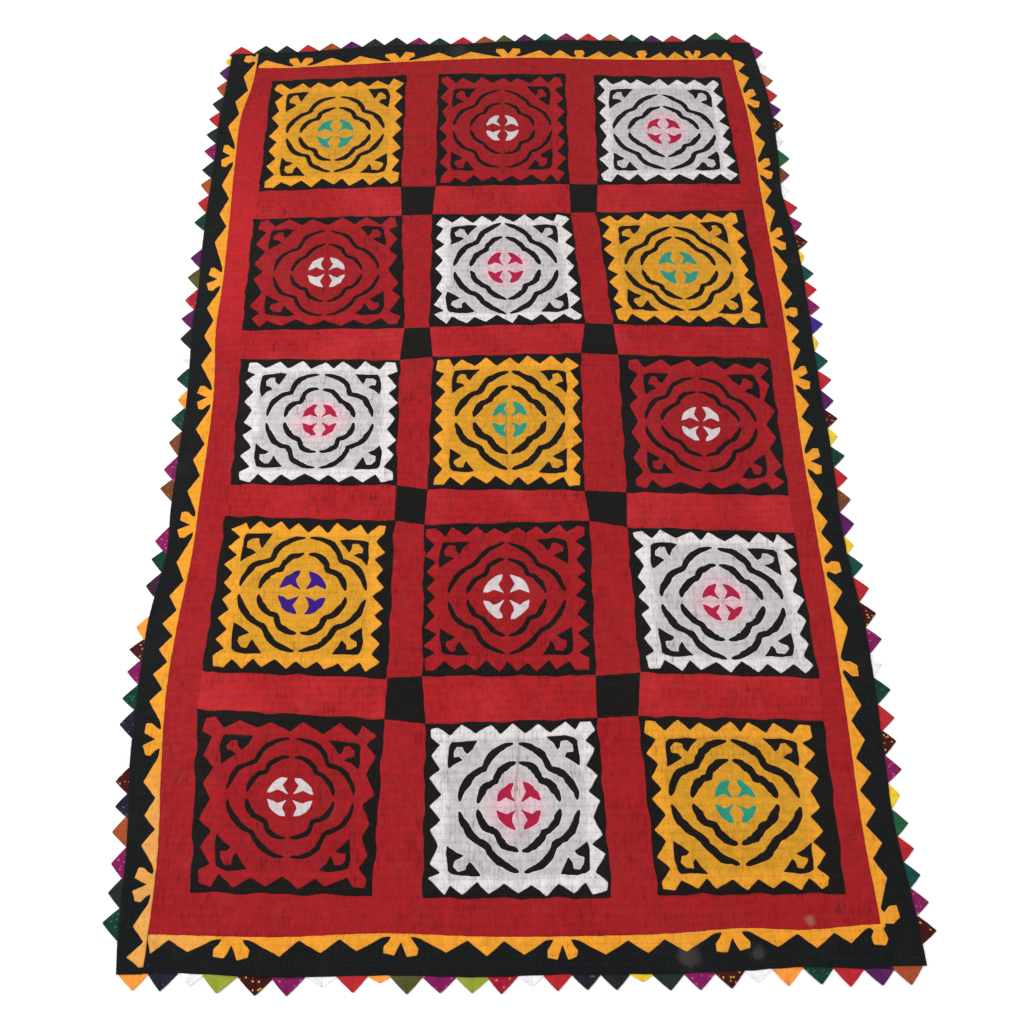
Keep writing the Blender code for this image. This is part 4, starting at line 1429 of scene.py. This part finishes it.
@dataclass
class Sashes:
    """The patchwork between the blocks: brighter red sashes across, and black cornerstones."""

    wardrobe: Wardrobe
    pieces: list[bpy.types.Object] = field(default_factory=list)
    dice: random.Random = field(default_factory=lambda: random.Random(77))

    def _sew(
        self, name: str, corners: Sequence[Spot], layer: Layer, cloth: str, slot: str, *nodes: str
    ) -> None:
        """Builds, dresses and hands over one four-cornered patch."""
        loop = unevenly(corners, 14.0, 0.8, self.dice)
        piece = ClothPiece(name, [loop], layer, turning=2.0, thickness=0.2).build()
        self.pieces.append(hand_over(piece, [self.wardrobe.cloth[cloth]], slot, *nodes))

    def build(self) -> None:
        """Sews the sashes, then the cornerstones over their ends."""
        for row in range(4):
            for column in range(3):
                above, below = BLOCKS[row][column].corners, BLOCKS[row + 1][column].corners
                corners = (above[3], above[2], below[1], below[0])
                name = f"red_sash_{row + 1}_{column + 1}"
                self._sew(name, corners, Layer.SASH, "Bright red sash cloth", "ground_red")
        for row in range(4):
            for column in range(2):
                above, below = BLOCKS[row], BLOCKS[row + 1]
                corners = (
                    above[column].corners[2], above[column + 1].corners[3], below[column + 1].corners[0],
                    below[column].corners[1],
                )
                label = f"{row + 1}_{column + 1}"
                self._sew(
                    f"black_cornerstone_{label}", corners, Layer.GROUND, "Black cloth", "black_cloth",
                    f"cornerstone_{label}",
                )


@dataclass
class OuterBorder:
    """The black border strips, the sawtooth strips on them, and the rows of prairie points."""

    wardrobe: Wardrobe
    tooth: float = 27.0
    valley: float = 5.5
    lap: float = 1.5  # how far a sawtooth strip laps over the red field
    root: float = 7.0  # how far a prairie point goes in under the border
    reach: float = 27.0
    under: float = 3.5  # how far a level border strip goes in under the upright ones
    widest: float = 62.0  # a prairie point's root
    lie: float = 1.35  # a prairie point's height over the floor at its root
    pieces: list[bpy.types.Object] = field(default_factory=list)

    FORK = (
        (-39, 5.5), (-29, 3.5), (-20, 3.5), (-25, 11), (-35, 20), (-35, 31), (-13, 34), (-5, 21), (0, 12),
        (5, 21), (13, 35), (34, 31), (36, 20), (25, 11), (20, 3.5), (29, 3.5), (39, 5.5),
    )
    FORK_SPREAD = 58.0  # between the two lobes of the fork as drawn
    LOBE = (
        (-22, 5.5), (-14, 3.5), (-8, 8), (-14, 19), (-11, 31), (9, 33), (15, 21), (8, 8), (14, 3.5),
        (22, 5.5),
    )
    LAST_LOBE = (*LOBE[:7], (9, 5.5))  # it ends with its strip
    FLAPS = (0.25, 0.95)  # how far a point's two halves stand up at their fold

    def _strip(self, name: str) -> None:
        """A black strip from the red field to the quilt's edge; the upright ones pass the others' ends."""
        side, dice = SIDES[name], random.Random("strip " + name)
        if side.upright:
            start, end = corner_of(name, "bottom")[1], corner_of(name, "top")[1]
        else:
            heights = np.linspace(float(RED_EDGE[name](0)), float(OUTER_EDGE[name](0)), 12) * 1.02
            start = float(RED_EDGE["left"](heights).max()) - self.under
            end = float(RED_EDGE["right"](heights).min()) + self.under
        places = np.linspace(start, end, 90 if side.upright else 56)
        inner = [place_on(name, s, RED_EDGE[name](s)) for s in places]
        outer = [place_on(name, s, OUTER_EDGE[name](s)) for s in places]
        loop = unevenly(inner + outer[::-1], 30.0, 0.9, dice)
        layer = Layer.GROUND if side.upright else Layer.SASH
        piece = ClothPiece(f"{name}_black_border", [loop], layer, column=18.0).build()
        cloth = self.wardrobe.cloth["Black border cloth"]
        self.pieces.append(hand_over(piece, [cloth], "black_cloth", f"{name}_border_strip"))

    def _motif_line(self, name: str, dice: random.Random) -> Loop:
        """The toothed outer line of a sawtooth strip, from end to end: places along it and heights."""
        side = SIDES[name]
        step = 1 if side.strip[1] > side.strip[0] else -1
        spans = []
        for place, (kind, first, second) in enumerate(side.motifs):
            if kind is Cut.TOOTH:
                middle = along_side(name, first)
                spans.append((middle, middle, [(middle, self.tooth * dice.uniform(0.9, 1.1))]))
                continue
            a = along_side(name, first)
            b = along_side(name, second) if kind is Cut.FORK else a
            middle, scale = (a + b) / 2, abs(b - a) / self.FORK_SPREAD if kind is Cut.FORK else 1.0
            shape, lean = (self.FORK, 0.0) if kind is Cut.FORK else (self.LOBE, second)
            if kind is Cut.LOBE and place == len(side.motifs) - 1:
                shape = self.LAST_LOBE
            before, after = shape[0][0] * scale, shape[-1][0] * scale
            drawn = [
                ((x * scale + lean * max(0.0, y - self.valley)) * step, y * dice.uniform(0.94, 1.06))
                for x, y in shape
            ]
            spans.append((middle + step * before, middle + step * after, [(middle + x, y) for x, y in drawn]))
        line = [(side.strip[0], self.valley)]
        for i, (start, end, drawn) in enumerate(spans):
            if i and len(drawn) == len(spans[i - 1][2]) == 1:
                valley = spans[i - 1][1] + (start - spans[i - 1][1]) * dice.uniform(0.44, 0.56)
                line.append((valley, self.valley * dice.uniform(0.7, 1.3)))
            line += drawn
        line.append((side.strip[1], self.valley))
        return line

    def _sawtooth(self, name: str) -> None:
        """A yellow strip: straight along the red field, cut to teeth and leaf pairs on its outer side."""
        side, dice = SIDES[name], random.Random("teeth " + name)
        line = soften(self._motif_line(name, dice), 1.8)[1:-1]
        places = np.linspace(line[0][0], line[-1][0], 70)
        inner = [place_on(name, s, RED_EDGE[name](s) - side.outward * self.lap) for s in places]
        outer = [place_on(name, s, float(RED_EDGE[name](s)) + side.outward * h) for s, h in line]
        loop = unevenly(inner + outer[::-1], 9.0, 0.45, dice)
        piece = ClothPiece(f"{name}_sawtooth", [loop], Layer.STRIP, turning=1.8, column=16.0).build()
        cloth = self.wardrobe.cloth["Yellow strip cloth"]
        self.pieces.append(hand_over(piece, [cloth], "yellow_cloth", f"{name}_sawtooth_strip"))

    def _points(self, name: str) -> None:
        """A side's prairie points, each folded from a scrap and tucked in under the border."""
        dice, along = random.Random("points " + name), Vector((*place_on(name, 1.0, 0.0), 0.0))
        tips = [
            (along_side(name, place), scrap, share[0] if share else 1.0)
            for place, scrap, *share in SIDES[name].points
        ]
        scraps = sorted({scrap for _, scrap, _ in tips}, key=lambda scrap: scrap.name)
        shape = bmesh.new()
        rim = shape.verts.layers.float.new("rim")
        for i, (place, scrap, share) in enumerate(tips):
            near = [abs(tips[j][0] - place) for j in (i - 1, i + 1) if 0 <= j < len(tips)]
            half = min(max(near), self.widest) / 2 * (1.0 if share > 0.75 else 0.9) + 1.5
            face, fold = self._point(shape, name, place, half, share, dice)
            face.material_index = scraps.index(scrap)
            for vert in face.verts:
                vert[rim] = 1.0
            self._crease(shape, face, Vector((*place_on(name, fold, 0.0), 0.0)), along)
        mesh = as_mesh(shape, f"{name}_scrap_points")
        place_mesh(mesh, *coordinates(mesh))
        piece = new_object(mesh)
        thicken(piece, 1.0)
        cloths = [self.wardrobe.scraps[scrap] for scrap in scraps]
        self.pieces.append(hand_over(piece, cloths, "scrap_cloth", f"{name}_prairie_points"))

    def _point(
        self,
        shape: bmesh.types.BMesh,
        name: str,
        place: float,
        half: float,
        share: float,
        dice: random.Random,
    ) -> tuple[bmesh.types.BMFace, float]:
        """Adds one flat point, its tip a little aslant and off the floor.

        Args:
            shape: The side's points, which it is added to.
            name: The side.
            place: The place of its middle along the side.
            half: Half the width of its root.
            share: The share of the whole reach that it shows.
            dice: The side's dice.

        Returns:
            Its face, and the place of its fold along the side.
        """
        reach = self.reach * share * dice.uniform(0.92, 1.08)
        lean = dice.uniform(-0.12, 0.12) * half
        drawn = (
            (-half, -self.root), (-half * 0.98, 0.5), (-half * 0.5 + lean * 0.5, reach * 0.53),
            (lean, reach), (half * 0.5 + lean * 0.5, reach * 0.53), (half * 0.98, 0.5),
            (half, -self.root),
        )
        lift = dice.uniform(0.0, 1.6)
        verts = []
        for a, b in soften([(place + a, b) for a, b in drawn], 2.0):
            spot = place_on(name, a, float(OUTER_EDGE[name](a)) + SIDES[name].outward * b)
            verts.append(shape.verts.new((*spot, self.lie + lift * max(0.0, b / reach) ** 2)))
        face = shape.faces.new(verts)
        face.normal_update()
        if face.normal.z < 0:
            face.normal_flip()
        return face, place + lean * 0.5

    def _crease(
        self, shape: bmesh.types.BMesh, face: bmesh.types.BMFace, fold: Vector, along: Vector
    ) -> None:
        """Parts a point at its fold into two halves that stand up from their turned edges."""
        rim = shape.verts.layers.float["rim"]
        parts = [*face.verts, *face.edges, face]
        cut = bmesh.ops.bisect_plane(shape, geom=parts, plane_co=fold, plane_no=along, dist=0.01)
        halves = [part for part in cut["geom"] if isinstance(part, bmesh.types.BMFace)]
        for half, flap in zip(halves, self.FLAPS):
            bmesh.ops.inset_individual(
                shape, faces=[half], thickness=0.9, depth=flap, use_even_offset=False
            )
            for vert in half.verts:
                vert[rim] = 0.0

    def build(self) -> None:
        """Builds the border's twelve pieces."""
        for name in SIDES:
            self._strip(name)
            self._sawtooth(name)
            self._points(name)


class Thread(Enum):
    """The thread by the cloth that it shows on: its colour, and that cloth's slot."""

    RED = ((128, 24, 28), "ground_red")
    BLACK = ((74, 68, 58), "black_cloth")
    YELLOW = ((196, 138, 42), "yellow_cloth")
    WHITE = ((184, 178, 180), "white_cloth")


@dataclass
class RunningStitch:
    """The rows of running stitch, each stitch a small bead of thread on the topmost cloth."""

    pitch: float = 9.6
    length: float = 4.8
    thread: float = 0.7  # the thread's width
    margin: float = 9.0  # from a row's ends to the quilt's edge
    pieces: list[bpy.types.Object] = field(default_factory=list)

    LOW, HIGH = -1112.0, 1118.0  # the first and the last row's levels, at most
    STEEPEST = 0.6  # between a stitch's ends, in mm
    THREAD_OF = {
        "Red field cloth": Thread.RED, "Bright red sash cloth": Thread.RED, "Red panel cloth": Thread.RED,
        "Black cloth": Thread.BLACK, "Black border cloth": Thread.BLACK,
        "Yellow strip cloth": Thread.YELLOW, "Yellow panel cloth": Thread.YELLOW,
        "White panel cloth": Thread.WHITE,
    }

    def build(self, cloths: Sequence[bpy.types.Object]) -> None:
        """Sews the rows over the cloths given.

        Args:
            cloths: Every piece that a stitch may show on.
        """
        tree, owner = self._surface(cloths)
        dice = random.Random(5)
        beads = {thread: bmesh.new() for thread in Thread}
        first, last = math.ceil(self.LOW / QUILTING.pitch), math.floor(self.HIGH / QUILTING.pitch)
        for row in range(first, last + 1):
            level = row * QUILTING.pitch
            left = float(OUTER_EDGE["left"](level)) + self.margin
            right = float(OUTER_EDGE["right"](level)) - self.margin
            line = {thread: bmesh.new() for thread in Thread}
            x = left + dice.uniform(0, self.pitch)
            while x < right:
                self._stitch(x, level + dice.uniform(-0.4, 0.4), tree, owner, line, dice)
                x += self.pitch * dice.uniform(0.85, 1.15)
            for thread, shape in line.items():
                sewn = as_mesh(shape, "row")
                beads[thread].from_mesh(sewn)
                bpy.data.meshes.remove(sewn)
        for thread, shape in beads.items():
            mesh = as_mesh(shape, f"stitches_on_{thread.name.lower()}")
            shade_smooth(mesh)
            colour, slot = thread.value
            finish = ThreadFinish(f"{thread.name.capitalize()} cloth thread", colour)
            self.pieces.append(hand_over(new_object(mesh), [finish.material()], slot))

    def _surface(self, cloths: Sequence[bpy.types.Object]) -> tuple[BVHTree, list[str]]:
        """All the cloths as one tree to look down on, and each face's cloth."""
        spots, faces, owner = [], [], []
        for cloth in cloths:
            start = len(spots)
            spots += [v.co.copy() for v in cloth.data.vertices]
            faces += [[start + i for i in p.vertices] for p in cloth.data.polygons]
            owner += [cloth.data.materials[0].name] * len(cloth.data.polygons)
        return BVHTree.FromPolygons(spots, faces), owner

    def _stitch(
        self,
        x: float,
        level: float,
        tree: BVHTree,
        owner: list[str],
        line: dict[Thread, bmesh.types.BMesh],
        dice: random.Random,
    ) -> None:
        """One stitch, if both its ends lie on the same cloth.

        Args:
            x: The place of its middle across the quilt.
            level: Its row's level.
            tree: The cloths' surface.
            owner: The cloth of each face of the surface.
            line: The row's beads by their thread, which the stitch is added to.
            dice: The stitching's dice.
        """
        half = self.length * dice.uniform(0.8, 1.15) / 2
        ends = []
        for a in (x - half, x + half):
            y = level + float(QUILTING.waver(a, level))
            over = Vector(((a - MIDDLE[0]) * MM, (y - MIDDLE[1]) * MM, 0.05))
            hit = tree.ray_cast(over, Vector((0, 0, -1)), 0.06)
            if hit[0] is None:
                return
            ends.append((hit[0], owner[hit[2]]))
        (start, cloth), (end, other) = ends
        run = end - start
        if cloth != other or cloth not in self.THREAD_OF or abs(run.z) > self.STEEPEST * MM:
            return
        turn = run.to_track_quat("Z", "Y").to_matrix().to_4x4()
        thick = self.thread / 2 * MM
        size = Matrix.Diagonal((thick, thick, run.length / 2, 1.0))
        middle = (start + end) / 2 + Vector((0, 0, thick * 0.35))
        bmesh.ops.create_uvsphere(
            line[self.THREAD_OF[cloth]], u_segments=4, v_segments=2, radius=1.0,
            matrix=Matrix.Translation(middle) @ turn @ size,
        )


@dataclass(frozen=True)
class Studio:
    """The floor, the soft lights and the camera."""

    sky: float = 0.8
    lens: float = 35.25
    shift: tuple[float, float] = (0.027, 0.0007)
    stand: tuple[float, float, float] = (-0.026, -1.174, 1.857)
    turn: tuple[float, float, float] = (26.03, 0.66, -0.56)

    def build(self) -> bpy.types.Object:
        """Sets the studio up.

        Returns:
            The floor.
        """
        shape = bmesh.new()
        bmesh.ops.create_grid(shape, x_segments=1, y_segments=1, size=6.0)
        bmesh.ops.translate(shape, verts=shape.verts[:], vec=(0, 0, -0.0004))
        floor = new_object(as_mesh(shape, "floor"))
        floor.data.materials.append(FloorFinish().material())
        self._light("key", (-1.7, -0.1, 2.0), 1.1, 30.0)
        self._light("fill", (1.9, -0.6, 2.8), 2.6, 22.0)
        world = bpy.data.worlds.new("Studio")
        bpy.context.scene.world = world
        world.use_nodes = True
        sky = world.node_tree.nodes["Background"].inputs
        sky["Color"].default_value = (1.0, 1.0, 1.0, 1.0)
        sky["Strength"].default_value = self.sky
        bpy.context.scene.view_settings.view_transform = "Standard"
        self._camera()
        return floor

    @staticmethod
    def _light(name: str, place: tuple[float, float, float], size: float, power: float) -> None:
        """A large soft light that looks at the quilt's middle."""
        lamp = bpy.data.lights.new(name, "AREA")
        lamp.shape = "DISK"
        lamp.size = size
        lamp.energy = power
        thing = new_object(lamp)
        thing.location = place
        thing.rotation_euler = (-Vector(place)).to_track_quat("-Z", "Y").to_euler()

    def _camera(self) -> None:
        """The photograph's viewpoint."""
        camera = bpy.data.cameras.new("Camera")
        camera.sensor_width = 36.0
        camera.lens = self.lens
        camera.shift_x, camera.shift_y = self.shift
        camera.clip_start, camera.clip_end = 0.05, 50.0
        thing = new_object(camera)
        thing.location = self.stand
        thing.rotation_euler = Euler(tuple(math.radians(a) for a in self.turn))
        bpy.context.scene.camera = thing


def main() -> None:
    """Builds the studio, then the quilt from the ground up."""
    floor = Studio().build()
    wardrobe = Wardrobe()
    body = QuiltBody(wardrobe)
    body.build()
    sewn_on: list[bpy.types.Object] = []
    sashes = Sashes(wardrobe)
    sashes.build()
    sewn_on += sashes.pieces
    for row in range(len(BLOCKS)):
        for column in range(len(BLOCKS[row])):
            block = Block(row, column, wardrobe)
            block.build()
            sewn_on += block.pieces
    border = OuterBorder(wardrobe)
    border.build()
    sewn_on += border.pieces
    stitching = RunningStitch()
    stitching.build([body.piece, *sewn_on])
    sewn_on += stitching.pieces
    log.info("pieces: %d", 1 + len(sewn_on))


if __name__ == "__main__":
    main()
